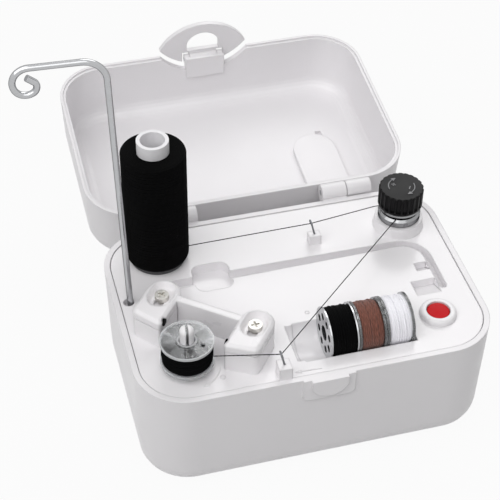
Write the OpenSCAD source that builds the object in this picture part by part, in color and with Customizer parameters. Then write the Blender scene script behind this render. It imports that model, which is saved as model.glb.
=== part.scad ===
// Electric bobbin winder in a hinged plastic case, lid open, threaded and ready to wind.
// Millimetres. X runs to the right along the front, Y to the back, Z up.
// The origin is the middle of the flat underside that the case stands on.

/* [Case] */
// Width of the case across the front
case_w = 142; // [138:1:160]
// Depth of the case from front to back
case_d = 97; // [95:1:110]
// Height of the base from the table to its rim
base_h = 50.5; // [49:0.5:60]
// Height of the lid above the rim when it is shut
lid_h = 31; // [28:0.5:40]
// Plan radius of the case corners
corner_r = 20.5; // [18:0.5:22]
// Wall of the base and the lid
wall = 2.4; // [2:0.1:3]
// Radius along the bottom edge of the base
base_round = 9; // [7:0.5:11]
// Radius along the top edge of the lid
lid_round = 9; // [7:0.5:11]
// Draft of the base walls in degrees
base_draft = 1.25; // [0.5:0.25:2]
// Draft of the lid walls in degrees
lid_draft = 2.5; // [0.5:0.25:3]
// Angle that the lid stands open from shut
lid_open = 174; // [150:1:176]

/* [Lid hinge and clasp] */
// Distance of the hinge axis behind the back wall
hinge_back = 4; // [3.8:0.1:5]
// Height of the hinge axis above the rim
hinge_up = 1.1; // [0.5:0.1:2]
// Radius of a hinge knuckle
knuckle_r = 3.55; // [3:0.05:3.6]
// Distance from the middle to the inner end of a hinge
hinge_from_middle = 27.4; // [24:0.2:30]
// Length of one knuckle
knuckle_l = 10.8; // [8:0.2:12]
// Diameter of the hinge pins
hinge_pin_d = 2.5; // [2:0.1:3]
// Width of the clasp where its two arcs meet
clasp_w = 41; // [36:0.5:44]
// Reach of the clasp below the rim
clasp_drop = 14; // [13:0.5:16]
// Reach of the clasp above the rim
clasp_rise = 8.5; // [8:0.5:10]
// Thickness of the clasp plate
clasp_t = 2.2; // [1.8:0.1:2.6]
// Width of the catch on the front of the base
catch_w = 14.4; // [12:0.2:16]
// Height of the catch
catch_h = 8.8; // [8:0.2:9.4]

/* [Deck] */
// Thickness of the deck plate
deck_t = 2.5; // [2:0.1:3]
// Gap between the deck and the base wall
deck_gap = 0.25; // [0.15:0.05:0.4]
// How far the deck lies below the rim
deck_drop = 0.3; // [0.1:0.1:0.8]
// Width of the rod storage groove
groove_w = 3.2; // [3:0.1:4]
// Depth of the rod storage groove
groove_depth = 4.2; // [3.5:0.1:5]
// Side of the finger notch
notch_w = 15.4; // [13:0.2:17]
// Depth of the finger notch
notch_depth = 4.6; // [4:0.2:6]

/* [Bobbins] */
// Diameter of a bobbin flange
bobbin_d = 20.5; // [20:0.1:21]
// Height of a bobbin
bobbin_h = 11; // [10.8:0.1:11.4]
// Diameter of the hole through a bobbin
bobbin_hole_d = 6.1; // [6:0.05:6.4]
// Distance of the spindle from the left side
spindle_from_left = 20.8; // [20:0.2:24]
// Distance of the spindle from the front
spindle_from_front = 18.7; // [18.4:0.2:22]
// Height of the stored bobbins' axis above the rim
store_up = 2.4; // [1.6:0.2:2.6]
// Clearance round the stored bobbins
store_gap = 0.4; // [0.3:0.05:0.6]
// Distance of the stored bobbins' axis from the front
store_from_front = 19.7; // [19:0.1:22]
// Distance of the right end of the bobbin trough from the right side
store_from_right = 32.6; // [32:0.1:33]
// Free length of trough left of the stored bobbins
store_free = 10; // [8:0.5:11]

/* [Spool and thread guide rod] */
// Diameter of the thread pack on the spool
spool_pack_d = 25.6; // [22:0.2:26]
// Height of the spool core
spool_h = 60; // [50:1:66]
// Outer diameter of the spool core
spool_core_d = 12.6; // [11:0.2:14]
// Distance of the spool from the left side
spool_from_left = 22.7; // [22:0.1:26]
// Distance of the spool from the back
spool_from_back = 16.5; // [16:0.1:18]
// Diameter of the guide rod
rod_d = 2.45; // [2.3:0.05:2.8]
// Height of the rod's arm above the rim
rod_h = 116; // [100:1:125]
// Length of the straight arm
rod_arm = 17.5; // [14:0.5:24]
// Lean of the rod to the left in degrees
rod_lean = 1.4; // [0:0.1:2]
// Distance of the rod from the left side
rod_from_left = 6.6; // [6.4:0.1:7.5]
// Distance of the rod from the back
rod_from_back = 39.6; // [38:0.2:41]

/* [Tension unit and button] */
// Diameter of the tension knob over its ribs
knob_d = 18.4; // [17:0.2:19]
// Height of the tension knob
knob_h = 8.4; // [7.5:0.1:9]
// Number of hollows round the knob
knob_hollows = 22; // [18:1:26]
// Diameter of the tension discs
disc_d = 17.6; // [16:0.2:18]
// Gap between the tension discs
disc_gap = 1; // [0.9:0.1:1.2]
// Height of the boss under the tension discs
boss_h = 4.6; // [4:0.1:5]
// Distance of the tension unit from the right side
tension_from_right = 17.5; // [16:0.2:18]
// Distance of the tension unit from the back
tension_from_back = 21.5; // [20:0.2:22]
// Diameter of the start button
button_d = 9.1; // [8.5:0.1:9.6]
// Travel of the start button
button_travel = 1.5; // [1:0.1:1.6]
// Distance of the button from the right side
button_from_right = 20.1; // [19:0.1:21]
// Distance of the button from the front
button_from_front = 20.9; // [20:0.1:22]

/* [Sensor bracket] */
// Direction that the bracket faces, in degrees from +X
bracket_angle = 231.5; // [228:0.5:234]
// Distance of each post from the bracket's middle line
post_side = 19.55; // [19.4:0.05:19.8]
// Width of a post
post_w = 13.3; // [12.8:0.1:13.4]
// Height of the bracket's top above the rim
post_h = 13.2; // [13:0.1:14]
// Height of the fixed lower half of a post
post_split = 9; // [8.4:0.1:9]
// Length of the adjusting slots
slot_travel = 2.7; // [2:0.1:3]

/* [Drive] */
// Gear module
gear_module = 0.6; // [0.55:0.05:0.6]
// Teeth of the spindle gear
spindle_teeth = 36; // [33:3:36]
// Teeth of the motor pinion
pinion_teeth = 12; // [12:1:13]
// Thickness of the spindle gear
gear_t = 4; // [3:0.5:5]
// Diameter of the motor can
motor_d = 20; // [18:0.5:21]
// Clearance of the motor above the floor
motor_floor_gap = 1.7; // [1:0.1:4]
// Direction of the motor from the spindle in degrees
motor_angle = 45; // [40:1:50]
// Diameter of the spindle shaft
spindle_shaft_d = 3; // [2.5:0.1:3.2]

/* [Power] */
// Diameter of a battery cell
cell_d = 14.5; // [14:0.1:14.8]
// Length of a battery cell
cell_l = 50.5; // [48:0.5:51]
// Wall of the battery tray
tray_wall = 1.6; // [1.2:0.1:2]
// Thickness of the circuit board
board_t = 1.6; // [1.2:0.1:2]

/* [Hidden] */

$fn = 48;
// A cut runs this far past the face it opens
past = 1;
// Running clearance of a pin or shaft, on the radius
run = 0.05;
// Clearance of a screw in its hole, on the radius
screw_gap = 0.1;
// Clearance between moulded pieces that sit side by side
fit = 0.2;
// Clearance between pieces that pass each other
pass = 0.4;

// Case levels and sides
rim_z = base_h;
left_x = -case_w / 2;
right_x = case_w / 2;
front_y = -case_d / 2;
back_y = case_d / 2;
deck_top = rim_z - deck_drop;
deck_bottom = deck_top - deck_t;
floor_t = wall;
hinge_y = back_y + hinge_back;
hinge_z = rim_z + hinge_up;
hinge_gap = 0.3;
knuckle_web = 9;

// Places on the deck
spindle_x = left_x + spindle_from_left;
spindle_y = front_y + spindle_from_front;
spool_x = left_x + spool_from_left;
spool_y = back_y - spool_from_back;
rod_x = left_x + rod_from_left;
rod_y = back_y - rod_from_back;
tension_x = right_x - tension_from_right;
tension_y = back_y - tension_from_back;
button_x = right_x - button_from_right;
button_y = front_y + button_from_front;
store_y = front_y + store_from_front;
store_z = rim_z + store_up;
store_r = bobbin_d / 2 + store_gap;
bobbin_gap = 0.25;
store_end_gap = 1.2;
store_right = right_x - store_from_right;
store_count = 3;
store_first = store_right - store_end_gap - store_count * (bobbin_h + bobbin_gap) + bobbin_gap;
store_left = store_first - store_free;
// The trough starts with a shallower ledge at its left end
ledge_l = 3;
ledge_r = store_r - 0.8;
shell = 1.8;
rear_guide_x = right_x - 54.9;
rear_guide_y = back_y - 23.6;
front_guide_x = left_x + 54.6;
front_guide_y = front_y + 4.9;
guide_w = 5;
rear_guide_l = 3.8;
rear_guide_h = 4.4;
front_guide_l = 5.6;
front_guide_h = 6;
hook_d = 0.8;
front_hook_h = 8.8;
rear_hook_h = 6.6;
hook_sink = 3;
hook_lean = 14;

// Rod storage groove, an L with a round corner
groove_back = back_y - 31.9;
groove_right = right_x - 10.7;
groove_left = left_x + 24;
groove_front = front_y + 34.3;
groove_bend = 12;
groove_flare = 1.8;
notch_x = left_x + 41.4;
notch_y = back_y - 33.4;
notch_r = 4;
pocket_depth = 3.6;
pocket_a = [10.2, 8.2];
pocket_b = [5.4, 4.6];
pocket_shift = [0.2, 6.2, 1.8];

// Deck screws, driven from below
screw_d = 3;
screw_head_d = 5.6;
screw_head_h = 2.2;
boss_r = 4;
boss_top = rim_z * 0.48;
screw_seat = boss_top - 8;
screw_l = 17;
deck_screw_at = [[right_x - 17, back_y - 12.5], [right_x - 17, front_y + 11.5],
        [left_x + 15, back_y - 11.5], [left_x + 51, front_y + 12.5],
        [left_x + 11, front_y + 46.5]];

// Spindle and bobbin levels
hub_lift = 0.4;
table_h = 2.6;
table_r = 5.6;
bobbin_z = deck_top + hub_lift + table_h;
flange_t = 1;
metal_flange_t = 0.6;
hub_wall = 1.4;
hub_r = bobbin_hole_d / 2 + hub_wall;
spindle_post_d = 5.5;
spindle_post_over = 6.5;
bush_r = 3.4;
bush_flange_r = 4.3;
bush_h = 5;
gear_top = deck_bottom - bush_h - 1.2;
gear_z = gear_top - gear_t;
plate_t = 3;
plate_top = gear_z - 1.4;
plate_z = plate_top - plate_t;
shaft_low = plate_z - 1;
spindle_pitch_r = gear_module * spindle_teeth / 2;
pinion_pitch_r = gear_module * pinion_teeth / 2;
centre_gap = 0.05;
centre_distance = spindle_pitch_r + pinion_pitch_r + centre_gap;
motor_x = spindle_x + centre_distance * cos(motor_angle);
motor_y = spindle_y + centre_distance * sin(motor_angle);
motor_shaft_d = 2;
motor_flat = 7.6;
end_cap_h = 4;
motor_l = plate_z - floor_t - end_cap_h - motor_floor_gap;
ear_r = 4;
ear_reach = 18;

// Thread packs
pack_gap = 0.35;
pack_turn_d = 1.2;
pack_turns = 4;
pack_r = bobbin_d / 2 - 0.6;
spool_turn_d = 2;
spool_turns = 15;
spool_foot_h = 1.8;
spool_foot_r = spool_pack_d / 2 - 1.6;
spool_wall = 1.5;
spool_pin_d = 8;
spool_pin_h = 22;
spool_lift = 0.3;
turn_rings = 24;
turn_sides = 6;

// Tension unit levels
stud_d = 4;
stud_foot = 9;
lower_disc_h = 4;
upper_disc_h = 1.4;
disc_z = deck_top + boss_h;
gap_z = disc_z + lower_disc_h;
upper_z = gap_z + disc_gap;
upper_top = upper_z + upper_disc_h;
knob_gap = 0.9;
knob_z = upper_top + knob_gap;
knob_hollow_r = 6.2;
knob_edge = 0.5;
washer_t = 1;
washer_z = knob_z + 4.6;
knob_roof = washer_z + washer_t;
stud_top = knob_z + knob_h - 1.8;
boss_r_low = 10.7;
boss_r_top = 9.9;

// Start button and board levels
bezel_r = 7.3;
bezel_h = 2.1;
bezel_lip = 1;
button_flange = 1.2;
button_skirt = 0.8;
stem_r = 2.2;
stem_l = 2.5;
switch_h = 3.5;
plunger_h = 0.6;
plunger_gap = 0.15;
switch_w = 6;
board_w = 22;
board_d = 18;
board_x = right_x - 17.5;
board_y = button_y + 5;
stem_bottom = deck_bottom - button_skirt - stem_l;
board_top = stem_bottom - button_travel - plunger_gap - plunger_h - switch_h;

// Battery tray, right of the middle
tray_x = right_x - 38;
tray_y = 0;
cell_gap = 0.4;
spring_l = 5;
contact_t = 0.6;
cell_count = 2;
tray_in_w = cell_count * (cell_d + cell_gap) + cell_gap;
tray_in_l = cell_l + spring_l + 2 * contact_t + cell_gap;
tray_h = cell_d + 2 * cell_gap;
door_t = 2;
door_lip = 2;
door_screw_d = 2.4;
door_lug = 4.5;

function arc_points(cx, cy, r, a0, a1, n) =
  [for (i = [0:n]) [cx + r * cos(a0 + (a1 - a0) * i / n), cy + r * sin(a0 + (a1 - a0) * i / n)]];

function unit(v) = v / norm(v);

// Direction of a path at point i
function heading(p, i) = unit(p[min(i + 1, len(p) - 1)] - p[max(i - 1, 0)]);

// Side directions carried along a path with no twist
function carried(p, i = 0, n = undef) =
  i == len(p) ? [] :
  let (t = heading(p, i),
    s = i == 0 ? unit(cross(t, abs(t[2]) < 0.9 ? [0, 0, 1] : [1, 0, 0])) : unit(n - (n * t) * t))
  concat([s], carried(p, i + 1, s));

// Round tube swept along a path as one closed surface of triangles
module swept_tube(p, r, sides) {
  n = carried(p);
  last = (len(p) - 1) * sides;
  points = [for (i = [0:len(p) - 1]) let (t = heading(p, i), b = cross(t, n[i]))
       for (k = [0:sides - 1]) p[i] + r * (cos(360 * k / sides) * n[i] + sin(360 * k / sides) * b)];
  sides_a = [for (i = [0:len(p) - 2]) for (k = [0:sides - 1])
       [i * sides + k, (i + 1) * sides + k, (i + 1) * sides + (k + 1) % sides]];
  sides_b = [for (i = [0:len(p) - 2]) for (k = [0:sides - 1])
       [i * sides + k, (i + 1) * sides + (k + 1) % sides, i * sides + (k + 1) % sides]];
  first_cap = [for (k = [1:sides - 2]) [0, k, k + 1]];
  last_cap = [for (k = [1:sides - 2]) [last, last + k + 1, last + k]];
  polyhedron(points, concat(sides_a, sides_b, first_cap, last_cap));
}

// Centre line of a helix round Z with straight ends one diameter long
function helix(r, loops, z, rise, d) =
  let (steps = loops * turn_rings,
    turns = [for (i = [0:steps]) [r * cos(360 * i / turn_rings), r * sin(360 * i / turn_rings),
                   z + rise * i / steps]])
  concat([turns[0] - d * heading(turns, 0)], turns, [turns[steps] + d * heading(turns, steps)]);

// Least gap between two stretches of a tube that are half a loop or more apart
function least_gap(p, d) =
  min([for (i = [0:2:len(p) - 1]) for (j = [i + turn_rings / 2:1:min(len(p) - 1, i + 2 * turn_rings)])
    norm(p[i] - p[j])]) - d;

// A path with its corners rounded by repeated corner cutting
function eased(p, times) =
  times == 0 ? p :
  eased(concat([p[0]],
        [for (i = [0:len(p) - 2]) each [0.75 * p[i] + 0.25 * p[i + 1], 0.25 * p[i] + 0.75 * p[i + 1]]],
        [p[len(p) - 1]]), times - 1);

// Wall section of a drafted tub as [inset, height], floor to rim
function tub_wall(h, draft, rnd, over) =
  let (c = (h - rnd) * tan(draft) + rnd)
  concat(arc_points(c, rnd, rnd, 270, 180, 6), [[0, h]], over > 0 ? [[0, h + over]] : []);

// Nearest multiple of 1/1024 mm, so that sums come out exact and faces meet
function snap(v) = round(v * 1024) / 1024;

// Solid rounded tub with drafted walls and a rounded bottom edge, rim up
module tub(w, d, h, r, draft, rnd, over = 0) {
  side = [for (p = tub_wall(h, draft, rnd, over)) [snap(p[0]), p[1]]];
  top = h + over;
  bend = snap(r);
  half_w = snap(w / 2);
  half_d = snap(d / 2);
  rotate([90, 0, 90])
    linear_extrude(2 * (half_w - bend), center = true)
      polygon(concat([for (p = side) [half_d - p[0], p[1]]],
             [for (i = [len(side) - 1:-1:0]) [side[i][0] - half_d, side[i][1]]]));
  for (m = [0, 1])
    mirror([m, 0, 0])
      rotate([90, 0, 0])
        linear_extrude(2 * (half_d - bend), center = true)
          polygon(concat([[half_w - bend, 0]], [for (p = side) [half_w - p[0], p[1]]],
                 [[half_w - bend, top]]));
  for (k = [0:3])
    translate([(k == 0 || k == 3 ? 1 : -1) * (half_w - bend), (k < 2 ? 1 : -1) * (half_d - bend), 0])
      rotate(90 * k)
        rotate_extrude(angle = 90)
          polygon(concat([[0, 0]], [for (p = side) [bend - p[0], p[1]]], [[0, top]]));
}

// Plate with round plan corners, standing on z = 0
module round_plate(w, d, r, t) {
  translate([-w / 2 + r, -d / 2, 0])
    cube([w - 2 * r, d, t]);
  translate([-w / 2, -d / 2 + r, 0])
    cube([w, d - 2 * r, t]);
  for (sx = [-1, 1], sy = [-1, 1])
    translate([sx * (w / 2 - r), sy * (d / 2 - r), 0])
      cylinder(r = r, h = t);
}

// Cylinder along +X from x = 0
module rod_along_x(r, l) {
  rotate([0, 90, 0])
    cylinder(r = r, h = l);
}

// Section in Y and Z extruded along +X
module along_x(l) {
  rotate([90, 0, 90])
    linear_extrude(l)
      children();
}

// Pan-head screw pointing up, its head resting on z = 0 from below
module screw_up(d, head_d, head_h, l) {
  translate([0, 0, -head_h])
    difference() {
      cylinder(d = head_d, h = head_h);
      translate([0, 0, -past])
        cross_recess(head_d, past + head_h * 0.5);
    }
  cylinder(d = d, h = l);
}

// Cross recess of a screw head
module cross_recess(head_d, depth) {
  for (a = [0, 90])
    rotate(a)
      translate([-head_d * 0.3, -head_d * 0.08, 0])
        cube([head_d * 0.6, head_d * 0.16, depth]);
}

// Children placed in the lid's open pose
module opened() {
  translate([0, hinge_y, hinge_z])
    rotate([-lid_open, 0, 0])
      translate([0, -hinge_y, -hinge_z])
        children();
}

// Children on the bracket's frame: +X forward, origin on the spindle axis at rim level
module at_bracket() {
  translate([spindle_x, spindle_y, rim_z])
    rotate(bracket_angle)
      children();
}

// Base of the case

module base_shell() {
  difference() {
    tub(case_w, case_d, base_h, corner_r, base_draft, base_round);
    translate([0, 0, floor_t])
      tub(case_w - 2 * wall, case_d - 2 * wall, base_h - floor_t, corner_r - wall, base_draft,
        base_round - wall, past);
  }
}

// Knuckle with its web; side is -1 below the rim for the base and +1 above it for the lid
module knuckle(x0, side) {
  root_y = back_y - wall * 0.6;
  translate([x0, hinge_y, hinge_z])
    rod_along_x(knuckle_r, knuckle_l);
  translate([x0, 0, 0])
    along_x(knuckle_l)
      polygon([[root_y, rim_z + side * 0.6], [root_y, rim_z + side * (knuckle_web + 0.6)],
          [hinge_y + knuckle_r * 0.6, hinge_z + side * knuckle_r * 0.78],
          [hinge_y, hinge_z]]);
}

module hinge_bore(x0, r) {
  translate([x0 - past, hinge_y, hinge_z])
    rod_along_x(r, knuckle_l + 2 * past);
}

// Catch on the front of the base: a half round on a low pad, both flush with the rim
catch_pad_w = 20.6;
catch_pad_h = 11;
catch_pad_r = 2.5;
catch_pad_t = 0.8;
catch_t = 2.2;
catch_top = rim_z;

module catch() {
  translate([0, front_y + wall / 2, rim_z])
    rotate([90, 0, 0])
      intersection() {
        translate([0, (catch_pad_r - catch_pad_h) / 2, 0])
          round_plate(catch_pad_w, catch_pad_h + catch_pad_r, catch_pad_r, catch_pad_t + wall / 2);
        translate([-catch_pad_w, -2 * catch_pad_h, -past])
          cube([2 * catch_pad_w, 2 * catch_pad_h, wall + 2 * past]);
      }
  translate([0, front_y + wall / 2, 0])
    rotate([90, 0, 0])
      linear_extrude(wall / 2 + catch_t)
        intersection() {
          translate([0, catch_top - catch_h + catch_arc_r()])
            circle(r = catch_arc_r());
          translate([-catch_w / 2, catch_top - catch_h])
            square([catch_w, catch_h]);
        }
}

// Radius of the catch's round lower edge, from its width and half its height
function catch_arc_r() = (catch_w * catch_w / 4 + catch_h * catch_h * 0.36) / (2 * catch_h * 0.6);

module base_case() {
  color("#f1eff1")
    difference() {
      union() {
        base_shell();
        for (m = [0, 1])
          mirror([m, 0, 0])
            knuckle(hinge_from_middle, -1);
        catch();
        for (p = deck_screw_at)
          translate([p[0], p[1], floor_t / 2])
            cylinder(r = boss_r, h = boss_top - floor_t / 2);
        door_lugs();
      }
      for (m = [0, 1])
        mirror([m, 0, 0])
          hinge_bore(hinge_from_middle, hinge_pin_d / 2);
      for (p = deck_screw_at) {
        translate([p[0], p[1], -past])
          cylinder(d = screw_head_d + 2 * pass, h = screw_seat + past);
        translate([p[0], p[1], -past])
          cylinder(d = screw_d + 2 * screw_gap, h = boss_top + 2 * past);
      }
      door_opening();
    }
}

// Opening in the floor for the battery door, with a rebate that the door sits in
module door_opening() {
  translate([tray_x - tray_in_w / 2, tray_y - tray_in_l / 2, -past])
    cube([tray_in_w, tray_in_l, floor_t + 2 * past]);
  translate([tray_x - tray_in_w / 2 - door_lip, tray_y - tray_in_l / 2 - door_lip, -past])
    cube([tray_in_w + 2 * door_lip, tray_in_l + 2 * door_lip, past + door_lip_t]);
  translate([door_screw_x, tray_y - door_tab_r - fit, -past])
    cube([tray_x - tray_in_w / 2 - door_screw_x, 2 * (door_tab_r + fit), past + door_lip_t]);
  translate([door_screw_x, tray_y, -past])
    cylinder(r = door_tab_r + fit, h = past + door_t);
  translate([door_screw_x, tray_y, -past])
    cylinder(d = door_screw_d + 2 * screw_gap, h = door_t + door_lug + past - 0.6);
}

door_lip_t = 1;
door_tab_r = 4.2;
door_screw_x = tray_x - tray_in_w / 2 - tray_wall - door_tab_r - 2.2;

// Lug inside the floor that takes the door screw
module door_lugs() {
  translate([door_screw_x, tray_y, floor_t / 2])
    cylinder(r = door_tab_r + 1.8, h = door_t - floor_t / 2 + door_lug);
}

// Deck

// Outline of the L-shaped rod groove, grown outwards by e
function groove_outline(e) =
  let (back = groove_back + e,
    right = groove_right + e,
    near = groove_back - groove_w - e,
    inner = groove_right - groove_w - e,
    cx = groove_right - groove_bend,
    cy = groove_back - groove_bend,
    ry = groove_front + groove_w / 2,
    rr = groove_w / 2 + e)
  concat([[groove_left - e, back]],
     arc_points(cx, cy, groove_bend + e, 90, 0, 8),
     arc_points(groove_right - groove_w / 2, ry, rr, 0, -180, 8),
     arc_points(cx, cy, groove_bend - groove_w - e, 0, 90, 6),
     [[groove_left - e, near - groove_flare]]);

module groove_solid(e, depth) {
  translate([0, 0, deck_top - depth])
    linear_extrude(depth + past)
      polygon(groove_outline(e));
}

module notch_solid(e, depth) {
  translate([notch_x, notch_y, deck_top - depth])
    round_plate(notch_w + 2 * e, notch_w + 2 * e, notch_r + e, depth + past);
}

// Pocket whose floor slopes up to the deck at its front, corner at its back left
module pocket(x, y, size, depth) {
  translate([x, 0, 0])
    along_x(size[0])
      polygon([[y, deck_top + past], [y, deck_top - depth], [y - size[1], deck_top],
          [y - size[1], deck_top + past]]);
}

// Both pockets, grown outwards by e
module pockets(e, depth) {
  x = groove_right - groove_w - pocket_shift[0] + e;
  y = groove_front + pocket_shift[1] + e;
  grown = [2 * e, 2 * e];
  pocket(x - pocket_a[0] - 2 * e, y, pocket_a + grown, depth);
  pocket(x - pocket_b[0] - 2 * e, y + pocket_a[1] + pocket_shift[2], pocket_b + grown, depth);
}

// Half-round trough for the stored bobbins
module trough_shell() {
  intersection() {
    translate([store_left - ledge_l - shell, store_y, store_z])
      rod_along_x(store_r + shell, store_right - store_left + ledge_l + 2 * shell);
    translate([store_left - ledge_l - shell, store_y - store_r - shell, deck_bottom - store_r])
      cube([store_right - store_left + ledge_l + 2 * shell, 2 * (store_r + shell), store_r + deck_t / 2]);
  }
}

module trough_hollow() {
  translate([store_left, store_y, store_z])
    rod_along_x(store_r, store_right - store_left);
  translate([store_left - ledge_l, store_y, store_z])
    rod_along_x(ledge_r, ledge_l + past);
}

// Boss under the tension discs
module tension_boss() {
  translate([tension_x, tension_y, deck_top - deck_t / 2])
    cylinder(r1 = boss_r_low, r2 = boss_r_top, h = boss_h + deck_t / 2);
}

// Domed ring round the start button
module bezel() {
  rise = bezel_r - button_d / 2 - fit - bezel_lip;
  translate([button_x, button_y, deck_top])
    rotate_extrude()
      polygon(concat([[0, -deck_t / 2], [bezel_r, -deck_t / 2], [bezel_r, bezel_h * 0.35]],
             arc_points(bezel_r - rise, bezel_h * 0.35, rise, 20, 90, 5),
             [[0, bezel_h * 0.35 + rise]]));
}

// Bracket posts: round behind, with a slanted front and round corners
post_round_x = -20.3;
post_screw_x = -18.6;
post_front_in = -3.7;
post_slant = 2.4;
post_corner_in = 1.2;
post_corner_out = 2.4;

// Middle of a front corner of radius r at height y across the post
function post_corner(y, r) =
  let (a = atan2(post_slant, post_w))
  [post_front_in - (r + (y + post_w / 2) * sin(a)) / cos(a), y];

// Front part of the right post in plan, from its round end forwards
function post_plan() =
  let (half = post_w / 2,
    a = atan2(post_slant, post_w),
    near = post_corner(post_corner_in - half, post_corner_in),
    far = post_corner(half - post_corner_out, post_corner_out))
  concat([[post_round_x, -half]],
     arc_points(near[0], near[1], post_corner_in, -90, a, 5),
     arc_points(far[0], far[1], post_corner_out, a, 90, 5),
     [[post_round_x, half]]);

module post_outline() {
  translate([post_round_x, 0])
    circle(d = post_w);
  polygon(post_plan());
}

// Post of height h whose top edge is cut back by edge
module post(h, edge) {
  if (edge > 0)
    hull() {
      post(h - edge, 0);
      linear_extrude(h)
        offset(delta = -edge)
          post_outline();
    }
  else
    linear_extrude(h)
      post_outline();
}

// Both posts, from z0 up to z1 above the rim
module post_solid(z0, z1, edge = 0) {
  for (m = [0, 1])
    mirror([0, m, 0])
      translate([0, post_side, z0])
        post(z1 - z0, edge);
}

module guide_post(x, y, l, h) {
  translate([x - guide_w / 2, y - l / 2, deck_top - deck_t / 2])
    cube([guide_w, l, h + deck_t / 2]);
}

// Columns that hold the gear plate under the deck
function plate_ear(i) =
  let (mx = (spindle_x + motor_x) / 2, my = (spindle_y + motor_y) / 2,
    a = motor_angle + (i == 0 ? 90 : -90))
  [mx + ear_reach * cos(a), my + ear_reach * sin(a)];

module deck_columns() {
  for (p = deck_screw_at)
    translate([p[0], p[1], boss_top])
      cylinder(r = boss_r - 0.3, h = deck_bottom + deck_t / 2 - boss_top);
  for (i = [0, 1])
    translate([plate_ear(i)[0], plate_ear(i)[1], plate_top])
      cylinder(r = ear_r - 0.6, h = deck_bottom + deck_t / 2 - plate_top);
  for (s = [-1, 1])
    translate([board_post(s)[0], board_post(s)[1], board_top])
      cylinder(r = 2, h = deck_bottom + deck_t / 2 - board_top);
}

module rod_socket(r, l) {
  translate([rod_x, rod_y, deck_top])
    rotate([0, -rod_lean, 0])
      translate([0, 0, -l])
        cylinder(r = r, h = l + (r < 3 ? past : -deck_t / 2));
}

module deck() {
  color("#f3f1f3")
    difference() {
      union() {
        translate([0, 0, deck_bottom])
          round_plate(case_w - 2 * (wall + deck_gap), case_d - 2 * (wall + deck_gap),
                corner_r - wall - deck_gap, deck_t);
        trough_shell();
        translate([0, 0, -past - deck_t / 2])
          groove_solid(shell * 0.8, groove_depth + shell * 0.6);
        translate([0, 0, -past - deck_t / 2])
          notch_solid(shell * 0.8, notch_depth + shell * 0.6);
        translate([0, 0, -past - deck_t / 2])
          pockets(shell * 0.8, pocket_depth + shell * 0.6);
        tension_boss();
        bezel();
        at_bracket()
          post_solid(-deck_drop - deck_t / 2, post_split);
        guide_post(rear_guide_x, rear_guide_y, rear_guide_l, rear_guide_h);
        guide_post(front_guide_x, front_guide_y, front_guide_l, front_guide_h);
        deck_columns();
        rod_socket(rod_d / 2 + shell, rod_foot + shell);
        translate([spool_x, spool_y, deck_bottom - spool_seat])
          cylinder(d = spool_pin_d - 2 + 2 * shell, h = spool_seat + deck_t / 2);
        translate([spindle_x, spindle_y, deck_bottom - bush_h + 1])
          cylinder(r = bush_r + shell, h = bush_h - 1 + deck_t / 2);
      }
      trough_hollow();
      groove_solid(0, groove_depth);
      notch_solid(0, notch_depth);
      pockets(0, pocket_depth);
      deck_holes();
    }
}

rod_foot = 12;
spool_seat = 6;

// Wider mouth of the rod's socket: shift, gap and depth
rod_mouth = [0.6, 0.9, 3];

module deck_holes() {
  rod_socket(rod_d / 2 + run, rod_foot);
  translate([rod_x - rod_mouth[0], rod_y, deck_top - rod_mouth[2]])
    cylinder(r = rod_d / 2 + rod_mouth[1], h = rod_mouth[2] + past);
  translate([spool_x, spool_y, deck_bottom - spool_seat - past])
    cylinder(d = spool_pin_d - 2, h = spool_seat + deck_t + 2 * past);
  translate([spindle_x, spindle_y, deck_bottom - bush_h - past])
    cylinder(r = bush_r, h = bush_h + deck_t + 2 * past);
  translate([tension_x, tension_y, deck_bottom - past])
    cylinder(d = stud_d, h = deck_t + boss_h + 2 * past);
  translate([button_x, button_y, deck_bottom - past])
    cylinder(d = button_d + 2 * fit, h = deck_t + bezel_h + 2 * past);
  for (p = deck_screw_at)
    translate([p[0], p[1], boss_top - past])
      cylinder(d = screw_d + 2 * screw_gap, h = screw_l - 8 + 2 * past);
  for (i = [0, 1])
    translate([plate_ear(i)[0], plate_ear(i)[1], plate_top - past])
      cylinder(d = plate_screw_d + 2 * screw_gap, h = plate_screw_l - plate_t + 2 * past);
  for (s = [-1, 1])
    translate([board_post(s)[0], board_post(s)[1], board_top - past])
      cylinder(d = board_screw_d + 2 * screw_gap, h = board_screw_l - board_t + past + 0.5);
  at_bracket()
    for (s = [-1, 1])
      translate([post_screw_x, s * post_side, post_split - sensor_screw_l - past])
        cylinder(d = sensor_screw_d + 2 * screw_gap, h = sensor_screw_l + 2 * past);
  at_hook(rear_guide_x, rear_guide_y, rear_guide_h)
    cylinder(d = hook_d, h = hook_sink + past);
  at_hook(front_guide_x, front_guide_y, front_guide_h)
    cylinder(d = hook_d, h = hook_sink + past);
}

// Lid, modelled shut and then turned open

clasp_pivot_up = 4.6;
clasp_pivot_y = front_y - 0.5;
barrel_r = 2.4;
barrel_l = 13;
lug_t = 2.6;
clasp_pin_d = 2;
scoop_gap = 1.3;

// Radii of the clasp's two arcs, from half its width and each arc's rise
clasp_corner = -1.6;
function arc_radius(half, rise) = (half * half + rise * rise) / (2 * rise);
function clasp_low_r() = arc_radius(clasp_w / 2, clasp_drop + clasp_corner);
function clasp_high_r() = arc_radius(clasp_w / 2, clasp_rise - clasp_corner);

// Lens outline of the clasp in X and height above the rim, shut; e grows it
module clasp_outline(e) {
  intersection() {
    translate([0, clasp_low_r() - clasp_drop])
      circle(r = clasp_low_r() + e, $fn = 96);
    translate([0, clasp_rise - clasp_high_r()])
      circle(r = clasp_high_r() + e, $fn = 96);
  }
}

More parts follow.
